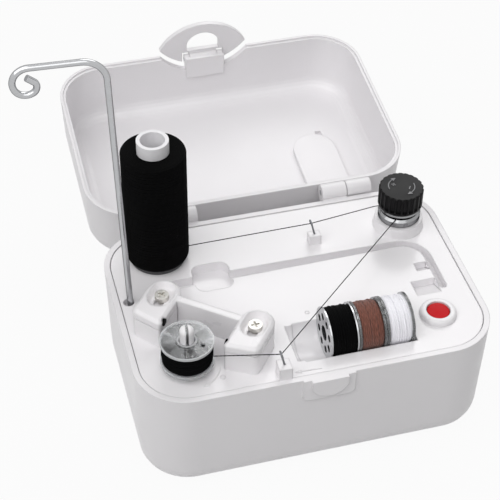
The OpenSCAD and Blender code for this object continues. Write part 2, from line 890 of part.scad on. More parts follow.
module lid_shell() {
  difference() {
    tub(case_w, case_d, lid_h, corner_r, lid_draft, lid_round);
    translate([0, 0, wall])
      tub(case_w - 2 * wall, case_d - 2 * wall, lid_h - wall, corner_r - wall, lid_draft,
        lid_round - wall, past);
    // Inner half of the rim steps down
    translate([0, 0, lid_h - rim_step])
      round_plate(case_w - wall, case_d - wall, corner_r - wall / 2, rim_step + past);
  }
}

rim_step = 0.8;
lid_pad_r = 10;
lid_pad_h = 2.2;
lid_pad_x = right_x - 29;
lid_pad_y = 1.5;

module lid() {
  color("#f1eff1")
    opened()
      difference() {
        union() {
          difference() {
            translate([0, 0, rim_z + lid_h])
              mirror([0, 0, 1])
                lid_shell();
            // Scoop in the front wall that the clasp lies in
            translate([0, front_y + 3 * wall, rim_z])
              rotate([90, 0, 0])
                linear_extrude(4 * wall)
                  clasp_outline(scoop_gap);
          }
          for (m = [0, 1])
            mirror([m, 0, 0])
              knuckle(hinge_from_middle + knuckle_l + hinge_gap, 1);
          clasp_lugs();
          clasp_cover();
          // Pad moulded on the inside of the lid, round in front and straight to the hinge side
          translate([lid_pad_x, lid_pad_y, rim_z + lid_h - wall - lid_pad_h])
            rotate(90)
              slot(lid_pad_r, back_y - lid_round - lid_pad_r - lid_pad_y, 0, lid_pad_h + wall / 2);
        }
        for (m = [0, 1])
          mirror([m, 0, 0])
            hinge_bore(hinge_from_middle + knuckle_l + hinge_gap, hinge_pin_d / 2 + run);
        translate([-barrel_l / 2 - lug_t - past, clasp_pivot_y, rim_z + clasp_pivot_up])
          rod_along_x(clasp_pin_d / 2, barrel_l + 2 * (lug_t + past));
        // Slot beside the pad
        translate([lid_pad_x + 4, lid_pad_y - lid_pad_r - 3.4, rim_z + lid_h - wall - past])
          cube([2.8, 3.2, wall * 0.6 + past]);
      }
}

// Two lugs beside the clasp's barrel
module clasp_lugs() {
  for (m = [0, 1])
    mirror([m, 0, 0])
      translate([barrel_l / 2 + fit, 0, 0]) {
        translate([0, clasp_pivot_y, rim_z + clasp_pivot_up])
          rod_along_x(barrel_r, lug_t - fit);
        translate([0, front_y - 0.3, rim_z + clasp_pivot_up])
          cube([lug_t - fit, wall, clasp_rise + scoop_gap + 1.5 - clasp_pivot_up]);
      }
}

// Block on the inside of the lid that hides the barrel
module clasp_cover() {
  near = clasp_pivot_y + swing_r + pass;
  root = rim_z + clasp_rise + scoop_gap + pass;
  translate([-barrel_l / 2 - lug_t, 0, 0])
    along_x(barrel_l + 2 * lug_t)
      polygon([[near, rim_z + 1], [near + 1.5, rim_z + 1], [near + 1.5, root + 2],
          [front_y + wall / 2, root + 2], [front_y + wall / 2, root], [near, root]]);
}

module hinge_pins() {
  color("#c9cbce")
    for (m = [0, 1])
      mirror([m, 0, 0])
        translate([hinge_from_middle, hinge_y, hinge_z])
          rod_along_x(hinge_pin_d / 2, 2 * knuckle_l + hinge_gap);
}

// Clasp: a lens-shaped plate outside the wall, with a barrel and a D-shaped window

clasp_y = front_y - catch_pad_t - 0.5;
// Reach of the clasp's outer face from its pin
swing_r = clasp_pivot_y - clasp_y + clasp_t;
window_gap = 0.5;

module lid_clasp() {
  color("#efedef")
    opened()
      difference() {
        union() {
          translate([0, clasp_y, rim_z])
            rotate([90, 0, 0])
              linear_extrude(clasp_t)
                clasp_outline(0);
          translate([-barrel_l / 2, clasp_pivot_y, rim_z + clasp_pivot_up])
            rod_along_x(barrel_r, barrel_l);
        }
        translate([0, clasp_y + past, 0])
          rotate([90, 0, 0])
            linear_extrude(clasp_t + 2 * past)
              window_outline();
        translate([-barrel_l / 2 - past, clasp_pivot_y, rim_z + clasp_pivot_up])
          rod_along_x(clasp_pin_d / 2 + run, barrel_l + 2 * past);
        clasp_reliefs();
        clasp_crown();
      }
}

// Cut off above the pin, so that the clasp swings clear of the wall
module clasp_crown() {
  difference() {
    translate([-clasp_w / 2, clasp_y - clasp_t - past, rim_z + clasp_pivot_up])
      cube([clasp_w, clasp_t + 4 * past, clasp_rise]);
    translate([-clasp_w / 2 - past, clasp_pivot_y, rim_z + clasp_pivot_up])
      rod_along_x(swing_r, clasp_w + 2 * past);
  }
}

// Room round the pin holders on both sides of the barrel
module clasp_reliefs() {
  for (m = [0, 1])
    mirror([m, 0, 0])
      translate([barrel_l / 2, clasp_pivot_y, rim_z + clasp_pivot_up])
        rod_along_x(swing_r + pass, lug_t + 2 * pass);
}

module window_outline() {
  intersection() {
    translate([0, catch_top - catch_h - window_gap + catch_arc_r() + window_gap])
      circle(r = catch_arc_r() + window_gap);
    translate([-catch_w / 2 - window_gap, catch_top - catch_h - window_gap])
      square([catch_w + 2 * window_gap, catch_h + 2 * window_gap]);
  }
}

module clasp_pin() {
  color("#c9cbce")
    opened()
      translate([-barrel_l / 2 - lug_t, clasp_pivot_y, rim_z + clasp_pivot_up])
        rod_along_x(clasp_pin_d / 2, barrel_l + 2 * lug_t);
}

module deck_screws() {
  color("#b9bcc0")
    for (p = deck_screw_at)
      translate([p[0], p[1], screw_seat])
        screw_up(screw_d, screw_head_d, screw_head_h, screw_l);
}

// Battery tray, cells, contacts and door

tray_top = floor_t + tray_h + tray_wall;

module battery_tray() {
  color("#e4e3e5")
    translate([tray_x, tray_y, floor_t])
      difference() {
        translate([-tray_in_w / 2 - tray_wall, -tray_in_l / 2 - tray_wall, 0])
          cube([tray_in_w + 2 * tray_wall, tray_in_l + 2 * tray_wall, tray_h + tray_wall]);
        translate([-tray_in_w / 2, -tray_in_l / 2, -past])
          cube([tray_in_w, tray_in_l, tray_h + past]);
      }
}

function cell_x(i) = tray_x + (i - (cell_count - 1) / 2) * (cell_d + cell_gap);
function cell_z() = floor_t + cell_gap + cell_d / 2;

// Each cell lies along Y, turned end for end beside its neighbour
module battery_cells() {
  nub_r = 2.6;
  nub_l = 1.2;
  color("#4f7d4a")
    for (i = [0:cell_count - 1])
      translate([cell_x(i), tray_y + cell_shift(i), cell_z()])
        rotate([i % 2 == 0 ? -90 : 90, 0, 0]) {
          translate([0, 0, -cell_l / 2])
            cylinder(d = cell_d, h = cell_l - nub_l);
          translate([0, 0, cell_l / 2 - nub_l])
            cylinder(r = nub_r, h = nub_l);
        }
}

// A cell's nub end rests on its contact; the other end is left for the spring
function cell_shift(i) = (i % 2 == 0 ? 1 : -1) * (tray_in_l / 2 - contact_t - cell_l / 2 - 0.05);

module battery_springs() {
  color("#c9cbce")
    for (i = [0:cell_count - 1])
      translate([cell_x(i), tray_y - (i % 2 == 0 ? 1 : -1) * (tray_in_l / 2 - contact_t), cell_z()])
        rotate([i % 2 == 0 ? -90 : 90, 0, 0])
          difference() {
            cylinder(r1 = 4.8, r2 = 3.4, h = spring_l + cell_gap - 0.1);
            translate([0, 0, -past])
              cylinder(r = 2.4, h = spring_l + 3 * past);
          }
}

module battery_contacts() {
  plate_w = cell_d - 3;
  color("#c9cbce")
    for (i = [0:cell_count - 1], s = [-1, 1])
      translate([cell_x(i) - plate_w / 2, tray_y + s * (tray_in_l / 2 - contact_t / 2) - contact_t / 2,
           cell_z() - plate_w / 2])
        cube([plate_w, contact_t, plate_w]);
}

module battery_door() {
  lip = door_lip_t - 0.05;
  w = tray_in_w / 2;
  l = tray_in_l / 2;
  color("#efedef")
    difference() {
      union() {
        translate([tray_x - w - door_lip + fit, tray_y - l - door_lip + fit, 0])
          cube([2 * (w + door_lip - fit), 2 * (l + door_lip - fit), lip]);
        translate([tray_x - w + fit, tray_y - l + fit, 0])
          cube([2 * (w - fit), 2 * (l - fit), door_t]);
        translate([door_screw_x, tray_y - door_tab_r, 0])
          cube([tray_x - w - door_screw_x, 2 * door_tab_r, lip]);
        translate([door_screw_x, tray_y, 0])
          cylinder(r = door_tab_r, h = door_t - 0.05);
      }
      translate([door_screw_x, tray_y, -past])
        cylinder(d = door_screw_d + 2 * screw_gap, h = door_t + 2 * past);
      translate([door_screw_x, tray_y, -past])
        cylinder(d = door_head_d + 2 * fit, h = past + door_head_h + 0.1);
    }
}

door_head_d = 4.6;
door_head_h = 1.2;

module battery_door_screw() {
  color("#b9bcc0")
    translate([door_screw_x, tray_y, door_head_h + 0.1])
      screw_up(door_screw_d, door_head_d, door_head_h, door_lug);
}

// Drive: gear plate, motor, gears, spindle

plate_screw_d = 2.6;
plate_screw_l = 9;

module gear_plate() {
  r_s = 8;
  r_m = motor_d / 2 + 2;
  color("#d7d9dc")
    translate([0, 0, plate_z])
      difference() {
        union() {
          translate([spindle_x, spindle_y, 0])
            cylinder(r = r_s, h = plate_t);
          translate([motor_x, motor_y, 0])
            cylinder(r = r_m, h = plate_t);
          translate([spindle_x, spindle_y, 0])
            rotate(motor_angle)
              translate([0, 1 - r_s, 0])
                cube([centre_distance, 2 * (r_s - 1), plate_t]);
          for (i = [0, 1])
            translate([plate_ear(i)[0], plate_ear(i)[1], 0])
              cylinder(r = ear_r, h = plate_t);
          translate([(spindle_x + motor_x) / 2, (spindle_y + motor_y) / 2, 0])
            rotate(motor_angle + 90)
              translate([-ear_reach, 1 - ear_r, 0])
                cube([2 * ear_reach, 2 * (ear_r - 1), plate_t]);
        }
        translate([spindle_x, spindle_y, -past])
          cylinder(r = bush_r, h = plate_t + 2 * past);
        translate([motor_x, motor_y, -past])
          cylinder(r = 3.1, h = plate_t + 2 * past);
        for (i = [0, 1])
          translate([plate_ear(i)[0], plate_ear(i)[1], -past])
            cylinder(d = plate_screw_d + 2 * screw_gap, h = plate_t + 2 * past);
      }
}

module gear_plate_screws() {
  color("#b9bcc0")
    for (i = [0, 1])
      translate([plate_ear(i)[0], plate_ear(i)[1], plate_z])
        screw_up(plate_screw_d, 5, 1.9, plate_screw_l);
}

module motor_can() {
  color("#bfc3c8")
    translate([motor_x, motor_y, plate_z - motor_l]) {
      difference() {
        intersection() {
          cylinder(d = motor_d, h = motor_l);
          translate([-motor_d, -motor_flat, 0])
            cube([2 * motor_d, 2 * motor_flat, motor_l]);
        }
        translate([0, 0, -past])
          cylinder(r = motor_shaft_d / 2 + run, h = motor_l + 2 * past);
      }
      // Collar round the shaft, in the plate's hole
      translate([0, 0, motor_l])
        difference() {
          cylinder(r = 3, h = 1.6);
          translate([0, 0, -past])
            cylinder(r = motor_shaft_d / 2 + run, h = 4);
        }
    }
}

module motor_end_cap() {
  color("#f0f0ea")
    translate([motor_x, motor_y, plate_z - motor_l - end_cap_h])
      difference() {
        union() {
          intersection() {
            cylinder(d = motor_d - 1, h = end_cap_h);
            translate([-motor_d, -motor_flat + 0.5, 0])
              cube([2 * motor_d, 2 * motor_flat - 1, end_cap_h]);
          }
        }
        translate([0, 0, 1])
          cylinder(r = motor_shaft_d / 2 + run, h = end_cap_h);
      }
}

module motor_shaft() {
  low = plate_z - motor_l - end_cap_h + 1.2;
  color("#c9cbce")
    translate([motor_x, motor_y, low])
      cylinder(d = motor_shaft_d, h = gear_top + 0.6 - low);
}

// Involute gear: one flank, then a tooth, then all teeth
pressure = 25;
addendum = 0.9;
dedendum = 1.2;
backlash = 0.14;

function involute_angle(r, base) = let (a = acos(min(1, base / r))) tan(a) * 180 / PI - a;

// Half the angle of a tooth at radius r
function half_tooth(r, teeth, rp) =
  let (base = rp * cos(pressure))
  90 / teeth - backlash / rp * 180 / PI / 2 + involute_angle(rp, base) - involute_angle(max(r, base), base);

function gear_outline(teeth) =
  let (rp = gear_module * teeth / 2,
    root = rp - dedendum * gear_module,
    tip = rp + addendum * gear_module,
    flank = [for (i = [0:4]) max(root, rp * cos(pressure)) + (tip - max(root, rp * cos(pressure))) * i / 4])
  [for (k = [0:teeth - 1]) let (a = 360 * k / teeth)
  each concat([[root, a - half_tooth(root, teeth, rp)]],
        [for (r = flank) [r, a - half_tooth(r, teeth, rp)]],
        [for (i = [4:-1:0]) [flank[i], a + half_tooth(flank[i], teeth, rp)]],
        [[root, a + half_tooth(root, teeth, rp)]])];

module gear(teeth, t, bore_r) {
  difference() {
    linear_extrude(t)
      polygon([for (p = gear_outline(teeth)) [p[0] * cos(p[1]), p[0] * sin(p[1])]]);
    translate([0, 0, -past])
      cylinder(r = bore_r, h = t + 2 * past);
  }
}

// A tooth of the spindle gear points at the motor, and a gap of the pinion points back
module spindle_gear() {
  color("#e9e4d2")
    translate([spindle_x, spindle_y, gear_z])
      rotate(motor_angle)
        gear(spindle_teeth, gear_t, spindle_shaft_d / 2);
}

module motor_pinion() {
  color("#d8b45a")
    translate([motor_x, motor_y, gear_z - 0.4])
      rotate(motor_angle + 180 + 180 / pinion_teeth)
        gear(pinion_teeth, gear_t + 0.8, motor_shaft_d / 2);
}

module spindle_shaft() {
  color("#c9cbce")
    translate([spindle_x, spindle_y, shaft_low])
      cylinder(d = spindle_shaft_d, h = bobbin_z + bobbin_h * 0.5 - shaft_low);
}

// Flanged bush; its flange lies on the far side of the plate or deck
module bush(h, flange_h) {
  difference() {
    union() {
      cylinder(r = bush_r, h = h);
      cylinder(r = bush_flange_r, h = flange_h);
    }
    translate([0, 0, -past])
      cylinder(r = spindle_shaft_d / 2 + run, h = h + 2 * past);
  }
}

module upper_bush() {
  color("#cda64e")
    translate([spindle_x, spindle_y, deck_bottom - bush_h])
      bush(bush_h + deck_t, 0.8);
}

module lower_bush() {
  color("#cda64e")
    translate([spindle_x, spindle_y, plate_z - 0.8])
      bush(plate_t + 0.8, 0.8);
}

// Split post with a domed top, and the table that the bobbin stands on
module spindle_hub() {
  post_r = spindle_post_d / 2;
  top = bobbin_h + spindle_post_over;
  dome = 2;
  color("#f2f0ee")
    translate([spindle_x, spindle_y, deck_top + hub_lift])
      difference() {
        union() {
          cylinder(r = table_r, h = table_h);
          translate([0, 0, table_h])
            rotate_extrude()
              polygon(concat([[0, 0], [post_r, 0]], arc_points(post_r - dome, top - dome, dome, 0, 90, 6),
                     [[0, top]]));
        }
        translate([0, 0, -past])
          cylinder(r = spindle_shaft_d / 2, h = past + table_h + bobbin_h * 0.5);
        rotate(84)
          translate([-table_r, -0.5, table_h + bobbin_h * 0.55])
            cube([2 * table_r, 1, top]);
      }
}

// Bobbins, standing on z = 0 along Z

module bobbin(flange, holes, hole_r, hole_at) {
  difference() {
    union() {
      cylinder(d = bobbin_d, h = flange);
      translate([0, 0, bobbin_h - flange])
        cylinder(d = bobbin_d, h = flange);
      cylinder(r = hub_r, h = bobbin_h);
    }
    translate([0, 0, -past])
      cylinder(d = bobbin_hole_d, h = bobbin_h + 2 * past);
    for (k = [0:holes - 1])
      rotate(360 * k / holes + 20)
        translate([hole_at, 0, -past])
          cylinder(r = hole_r, h = bobbin_h + 2 * past, $fn = 24);
  }
}

// Thread pack on a bobbin: a plain core and an outer layer of turns
module bobbin_pack(flange) {
  core_r = pack_r - pack_turn_d - 0.25;
  r = pack_r - pack_turn_d / 2;
  low = flange + pack_gap;
  span = bobbin_h - 2 * low;
  path = helix(r, pack_turns, low + pack_turn_d / 2 + 0.1, span - pack_turn_d - 0.2, pack_turn_d);
  translate([0, 0, low])
    difference() {
      cylinder(r = core_r, h = span);
      translate([0, 0, -past])
        cylinder(r = hub_r + pack_gap, h = span + 2 * past);
    }
  swept_tube(path, pack_turn_d / 2, turn_sides);
  echo(str("least gap between turns on a bobbin, mm: ", least_gap(path, pack_turn_d)));
}

module on_spindle() {
  translate([spindle_x, spindle_y, bobbin_z])
    rotate(-58)
      children();
}

module winding_bobbin() {
  color("#c8ccd0", 0.5)
    on_spindle()
      bobbin(flange_t, 1, 0.9, 6.6);
}

module winding_bobbin_thread() {
  color("#141416")
    on_spindle()
      bobbin_pack(flange_t);
}

// Stored bobbin i, counted from the left, lying along +X in the trough
module stored(i) {
  translate([store_first + i * (bobbin_h + bobbin_gap), store_y, store_z])
    rotate([0, 90, 0])
      children();
}

module metal_bobbin() {
  color("#b4b7ba")
    stored(0)
      bobbin(metal_flange_t, 8, 1.5, 6.7);
}

module metal_bobbin_thread() {
  color("#141416")
    stored(0)
      bobbin_pack(metal_flange_t);
}

module middle_bobbin() {
  color("#c8ccd0", 0.5)
    stored(1)
      bobbin(flange_t, 1, 0.9, 6.6);
}

module middle_bobbin_thread() {
  color("#84594a")
    stored(1)
      bobbin_pack(flange_t);
}

module end_bobbin() {
  color("#c8ccd0", 0.5)
    stored(2)
      bobbin(flange_t, 1, 0.9, 6.6);
}

module end_bobbin_thread() {
  color("#f3f2fa")
    stored(2)
      bobbin_pack(flange_t);
}

// Sensor bracket: two upper post halves joined by a wall behind the bobbin

bridge_front = -18;
bridge_t = 3;
bridge_top = 12.5;
sensor_screw_d = 2.8;
sensor_screw_l = 8;
sensor_head_d = 5.4;
sensor_head_h = 2;
slot_floor = post_split + 1.6;
slot_r = 1.95;
recess_r = 3.6;
recess_back = 2;
recess_slope = 0.5;
recess_h = post_h + past - slot_floor;
post_edge = 1.2;
lens_r = 1.5;
lens_l = 4;
lens_x = -7;
lens_z = 11;
seat_gap = 0.1;

module sensor_bracket() {
  low = post_split + seat_gap;
  color("#f2f0f1")
    at_bracket()
      difference() {
        union() {
          post_solid(low, post_h, post_edge);
          // The wall goes down to the deck between the lower posts
          for (b = [[post_side, low], [post_side - post_w / 2 - fit, seat_gap - deck_drop]])
            translate([bridge_front - bridge_t, -b[0], b[1]])
              cube([bridge_t, 2 * b[0], bridge_top - b[1]]);
        }
        for (s = [-1, 1])
          translate([post_screw_x, s * post_side, 0]) {
            slot(slot_r, slot_travel, low - past, post_h);
            hull()
              for (x = [-recess_back, slot_travel - 0.6])
                translate([x, 0, slot_floor])
                  cylinder(r1 = recess_r, r2 = recess_r + recess_slope * recess_h, h = recess_h, $fn = 32);
          }
        for (s = [-1, 1])
          translate([lens_x, s * (post_side - post_w / 2), lens_z])
            rotate([-s * 90, 0, 0])
              translate([0, 0, -past])
                cylinder(r = lens_r, h = lens_l + past);
      }
}

// Slot running forwards from the origin
module slot(r, l, z0, z1) {
  translate([0, 0, z0])
    cylinder(r = r, h = z1 - z0);
  translate([l, 0, z0])
    cylinder(r = r, h = z1 - z0);
  translate([0, -r, z0])
    cube([l, 2 * r, z1 - z0]);
}

module sensor_screws() {
  color("#d0d2d4")
    at_bracket()
      for (s = [-1, 1])
        translate([post_screw_x, s * post_side, slot_floor + 0.05])
          mirror([0, 0, 1])
            rotate(s * 25 + 15)
              screw_up(sensor_screw_d, sensor_head_d, sensor_head_h, sensor_screw_l + slot_floor - post_split - 1);
}

module sensor_lens(s) {
  at_bracket()
    translate([lens_x, s * (post_side - post_w / 2), lens_z])
      rotate([-s * 90, 0, 0])
        translate([0, 0, -0.3])
          cylinder(r = lens_r - 0.02, h = lens_l);
}

module sensor_emitter() {
  color("#101012")
    sensor_lens(-1);
}

module sensor_receiver() {
  color("#101012")
    sensor_lens(1);
}

// Bent wire: straight lengths and bends follow each other, each bend towards -X.
// Each piece starts a little inside the one before and is a hair thicker, so that they join.

lap = 0.05;
hair = 0.02;

module wire(d, l) {
  translate([0, 0, -lap])
    cylinder(d = d, h = l + 2 * lap);
  translate([0, 0, l])
    children();
}

module wire_bend(d, r, a) {
  start = lap / r * 180 / PI;
  translate([-r, 0, 0])
    rotate([90, 0, 0])
      rotate(-start)
        rotate_extrude(angle = a + start)
          translate([r, 0])
            circle(d = d, $fn = 32);
  translate([-r, 0, 0])
    rotate([0, -a, 0])
      translate([r, 0, 0])
        children();
}

// Hooks in the guide posts: a leaning leg and an eye open to one side

hook_eye = 1.3;
hook_turn = 235;

// Height of the eye's middle above the post, along the leg
function hook_eye_up(h) = h - hook_eye - hook_d / 2;

// Children placed at the foot of a hook, in a post h above the deck
module at_hook(x, y, h) {
  translate([x, y, deck_top + h])
    rotate([0, -hook_lean, 0])
      translate([0, 0, -hook_sink])
        children();
}

module wire_hook(h) {
  translate([0, 0, lap])
    wire(hook_d - 2 * hair, hook_sink + hook_eye_up(h) - lap)
      wire_bend(hook_d - hair, hook_eye, hook_turn);
}

module rear_thread_hook() {
  color("#8d8f92")
    at_hook(rear_guide_x, rear_guide_y, rear_guide_h)
      rotate(-90)
        wire_hook(rear_hook_h);
}

module front_thread_hook() {
  color("#8d8f92")
    at_hook(front_guide_x, front_guide_y, front_guide_h)
      rotate(90)
        wire_hook(front_hook_h);
}

// Tension unit

module at_tension(z) {
  translate([tension_x, tension_y, z])
    children();
}

module tension_stud() {
  color("#c9cbce")
    at_tension(deck_bottom - stud_foot)
      cylinder(d = stud_d, h = stud_top - deck_bottom + stud_foot);
}

module tension_nut() {
  nut_h = 3.2;
  color("#b9bcc0")
    at_tension(deck_bottom - nut_h)
      difference() {
        cylinder(d = 8.1, h = nut_h, $fn = 6);
        translate([0, 0, -past])
          cylinder(d = stud_d, h = nut_h + 2 * past);
      }
}

// Lower disc: a thick dished ring with a rolled lower edge
module lower_tension_disc() {
  r = disc_d / 2;
  roll = 1.2;
  color("#d3d5d8")
    at_tension(disc_z)
      rotate_extrude()
        polygon(concat([[stud_d / 2 + run, 0], [r - roll, 0]],
               arc_points(r - roll, roll, roll, -90, 0, 4),
               [[r, lower_disc_h - 1], [r - 0.9, lower_disc_h], [stud_d / 2 + run, lower_disc_h]]));
}

module upper_tension_disc() {
  r = disc_d / 2;
  color("#d3d5d8")
    at_tension(upper_z)
      rotate_extrude()
        polygon([[stud_d / 2 + run, 0], [r - 1, 0], [r - 0.1, 0.7], [r - 0.4, upper_disc_h],
            [stud_d / 2 + run, upper_disc_h]]);
}

// Spring inside the knob, drawn as its outer tube
module tension_spring() {
  color("#c9cbce")
    at_tension(upper_top)
      difference() {
        cylinder(r = 4.6, h = washer_z - upper_top);
        translate([0, 0, -past])
          cylinder(r = 3.2, h = washer_z - upper_top + 2 * past);
      }
}

module tension_washer() {
  color("#c9cbce")
    at_tension(washer_z)
      difference() {
        cylinder(r = knob_hollow_r - pass, h = washer_t);
        translate([0, 0, -past])
          cylinder(r = stud_d / 2 + run, h = washer_t + 2 * past);
      }
}

// Knob with hollows round its side
module tension_knob() {
  hollow_r = PI * knob_d / knob_hollows / 2 * 0.8;
  color("#202022")
    at_tension(knob_z)
      difference() {
        union() {
          cylinder(d = knob_d, h = knob_h - knob_edge);
          translate([0, 0, knob_h - knob_edge])
            cylinder(d1 = knob_d, d2 = knob_d - 2 * knob_edge, h = knob_edge);
        }
        for (k = [0:knob_hollows - 1])
          rotate(360 * k / knob_hollows)
            translate([knob_d / 2 + hollow_r * 0.3, 0, 0.8])
              cylinder(r = hollow_r, h = knob_h, $fn = 20);
        translate([0, 0, -past])
          cylinder(r = knob_hollow_r, h = knob_roof - knob_z + past);
        translate([0, 0, -past])
          cylinder(r = stud_d / 2 + run, h = stud_top - knob_z + past + 0.9);
      }
}

// Start button, switch and board

module start_button() {
  r = button_d / 2;
  cap_h = bezel_h - 0.1;
  color("#d8201e")
    translate([button_x, button_y, 0]) {
      translate([0, 0, deck_bottom - button_skirt])
        rotate_extrude()
          polygon(concat([[0, 0], [r, 0], [r, button_skirt + deck_t + cap_h - 0.8]],
                 arc_points(r - 0.8, button_skirt + deck_t + cap_h - 0.8, 0.8, 20, 70, 3),
                 [[0, button_skirt + deck_t + cap_h + 0.25]]));
      translate([0, 0, deck_bottom - button_skirt - 0.01])
        mirror([0, 0, 1])
          cylinder(r = stem_r, h = stem_l - 0.01);
      translate([0, 0, deck_bottom - button_skirt - 0.1])
        cylinder(r = r + button_flange, h = button_skirt);
    }
}

module tact_switch() {
  color("#222224")
    translate([button_x, button_y, board_top]) {
      translate([-switch_w / 2, -switch_w / 2, 0])
        cube([switch_w, switch_w, switch_h]);
      translate([0, 0, switch_h])
        cylinder(r = 1.7, h = plunger_h);
    }
}

module circuit_board() {
  color("#2f6b46")
    difference() {
      translate([board_x - board_w / 2, board_y - board_d / 2, board_top - board_t])
        cube([board_w, board_d, board_t]);
      for (s = [-1, 1])
        translate([board_post(s)[0], board_post(s)[1], board_top - board_t - past])
          cylinder(d = board_screw_d + 2 * screw_gap, h = board_t + 2 * past);
    }
}

board_screw_d = 2;
board_screw_l = 7;
function board_post(s) = [board_x + s * (board_w / 2 - 2.6), board_y + board_d / 2 - 2.6];

module board_screws() {
  color("#b9bcc0")
    for (s = [-1, 1])
      translate([board_post(s)[0], board_post(s)[1], board_top - board_t])
        screw_up(board_screw_d, 3.8, 1.4, board_screw_l);
}

// Spool on its pin

module spool_pin() {
  color("#f2f0f1")
    translate([spool_x, spool_y, deck_bottom - spool_seat]) {
      cylinder(d = spool_pin_d - 2, h = spool_seat + deck_t);
      translate([0, 0, spool_seat + deck_t])
        cylinder(d = spool_pin_d, h = spool_pin_h);
    }
}

module spool_core() {
  color("#e9e8ea")
    translate([spool_x, spool_y, deck_top + spool_lift])
      difference() {
        union() {
          cylinder(r1 = spool_foot_r, r2 = spool_foot_r - 0.5, h = spool_foot_h);
          cylinder(d = spool_core_d, h = spool_h);
        }
        translate([0, 0, -past])
          cylinder(d = spool_core_d - 2 * spool_wall, h = spool_h + 2 * past);
      }
}

// Thread pack of the spool: a plain core with round shoulders and an outer layer of turns
pack_low_round = 1.5;
pack_high_round = 1;
pack_below_top = 5.3;

module spool_thread() {
  low = spool_foot_h + pass;
  high = spool_h - pack_below_top;
  turn_r = spool_pack_d / 2;
  core_r = turn_r - spool_turn_d - 0.35;
  first = low + pack_low_round / 2 + spool_turn_d / 2;
  path = helix(turn_r - spool_turn_d / 2, spool_turns, first,
        high - pack_high_round * 0.2 - spool_turn_d / 2 - first, spool_turn_d);
  color("#141416")
    translate([spool_x, spool_y, deck_top + spool_lift]) {
      rotate_extrude()
        polygon(concat([[spool_core_d / 2 + 0.1, low]],
               arc_points(core_r - pack_low_round, low + pack_low_round, pack_low_round, -90, 0, 4),
               arc_points(core_r - pack_high_round, high - pack_high_round, pack_high_round, 0, 90, 5),
               [[spool_core_d / 2 + 0.1, high]]));
      rotate(200)
        swept_tube(path, spool_turn_d / 2, turn_sides);
    }
  echo(str("least gap between turns on the spool, mm: ", least_gap(path, spool_turn_d)));
}

// Thread guide rod: a straight wire, a bend, an arm and a pigtail

rod_bend = 9;
arm_rise = 2;
curl = [5.8, 4.4, 2.9, 1.7];
curl_turn = [120, 90, 90, 22];
rod_end = 3.2;

module guide_rod() {
  color("#c4c6c9")
    translate([rod_x, rod_y, deck_top])
      rotate([0, -rod_lean, 0])
        translate([0, 0, lap - rod_foot])
          wire(rod_d - 5 * hair, rod_foot + rod_h + deck_drop - rod_bend)
            wire_bend(rod_d - 4 * hair, rod_bend, 90 - arm_rise - rod_lean)
              wire(rod_d - 5 * hair, rod_arm)
                wire_bend(rod_d - 4 * hair, curl[0], curl_turn[0])
                  wire_bend(rod_d - 3 * hair, curl[1], curl_turn[1])
                    wire_bend(rod_d - 2 * hair, curl[2], curl_turn[2])
                      wire_bend(rod_d - hair, curl[3], curl_turn[3])
                        wire(rod_d, rod_end);
}

// Thread on its way from the spool to the bobbin being wound

thread_d = 0.5;
thread_sides = 6;

// Place of a hook's eye, side +1 for an eye behind the post and -1 for one in front
function hook_eye_at(x, y, post, h, side) =
  [x - hook_eye_up(h) * sin(hook_lean), y + side * hook_eye, deck_top + post + hook_eye_up(h) * cos(hook_lean)];

// The thread touches the bobbin's pack at this angle round the spindle, with this gap
thread_meets = -44;
thread_gap = 0.3;

function thread_route() =
  let (mid = gap_z + disc_gap / 2,
    turn = stud_d / 2 + thread_d / 2 + 0.25,
    meet = pack_r + thread_d / 2 + thread_gap)
  concat([[spool_x + 1.5, spool_y - spool_pack_d / 2 - thread_d / 2 - thread_gap, deck_top + 15.4]],
     [hook_eye_at(rear_guide_x, rear_guide_y, rear_guide_h, rear_hook_h, 1)],
     [[tension_x - disc_d / 2 - 1, tension_y + 3, mid]],
     [for (a = [110:-45:-70]) [tension_x + turn * cos(a), tension_y + turn * sin(a), mid]],
     [[tension_x - 4.5, tension_y - 7.5, mid]],
     [hook_eye_at(front_guide_x, front_guide_y, front_guide_h, front_hook_h, -1) + [0, 0, hook_d * 0.4]],
     [[spindle_x + meet * cos(thread_meets), spindle_y + meet * sin(thread_meets),
       bobbin_z + bobbin_h * 0.68]]);

module thread_run() {
  color("#141416")
    swept_tube(thread_route(), thread_d / 2, thread_sides);
}

// Wires inside the base, each one tube with its corners eased

lead_d = 1.4;
lead_sides = 8;
// Spacing of the two wires of a pair
lead_step = 4;
// Room that a wire keeps from the pieces it passes
lead_room = 3;
// A wire's end stops this far from the face that it is joined to
lead_end = 0.05;

module lead(points) {
  swept_tube(eased(points, 1), lead_d / 2, lead_sides);
}

motor_low = plate_z - motor_l - end_cap_h;
board_low = board_top - board_t;
tray_side = tray_in_w / 2 + tray_wall;

module motor_leads() {
  over = tray_top + lead_room;
  level = motor_low + end_cap_h / 2;
  out = motor_x + motor_d / 2;
  y = tray_y - tray_in_l / 2 + lead_step;
  color("#b8322c")
    for (i = [0, 1])
      lead([[out - end_cap_h * 0.15, motor_y + (i - 0.5) * lead_step, level],
            [out + 2 * lead_room, motor_y + (i - 0.5) * lead_step, level],
            [tray_x - tray_side - 4.5 * lead_room, y + i * lead_step, level],
            [tray_x - tray_side - 2.5 * lead_room, y + i * lead_step, level],
            [tray_x - tray_side - 1.5 * lead_room, y + i * lead_step, over],
            [board_x - (1.5 - i) * lead_room, board_y - board_d / 2 + (1 + i * 0.6) * lead_room, over],
            [board_x - (1.5 - i) * lead_room, board_y - board_d / 2 + (1 + i * 0.6) * lead_room,
             board_low - lead_end]]);
}

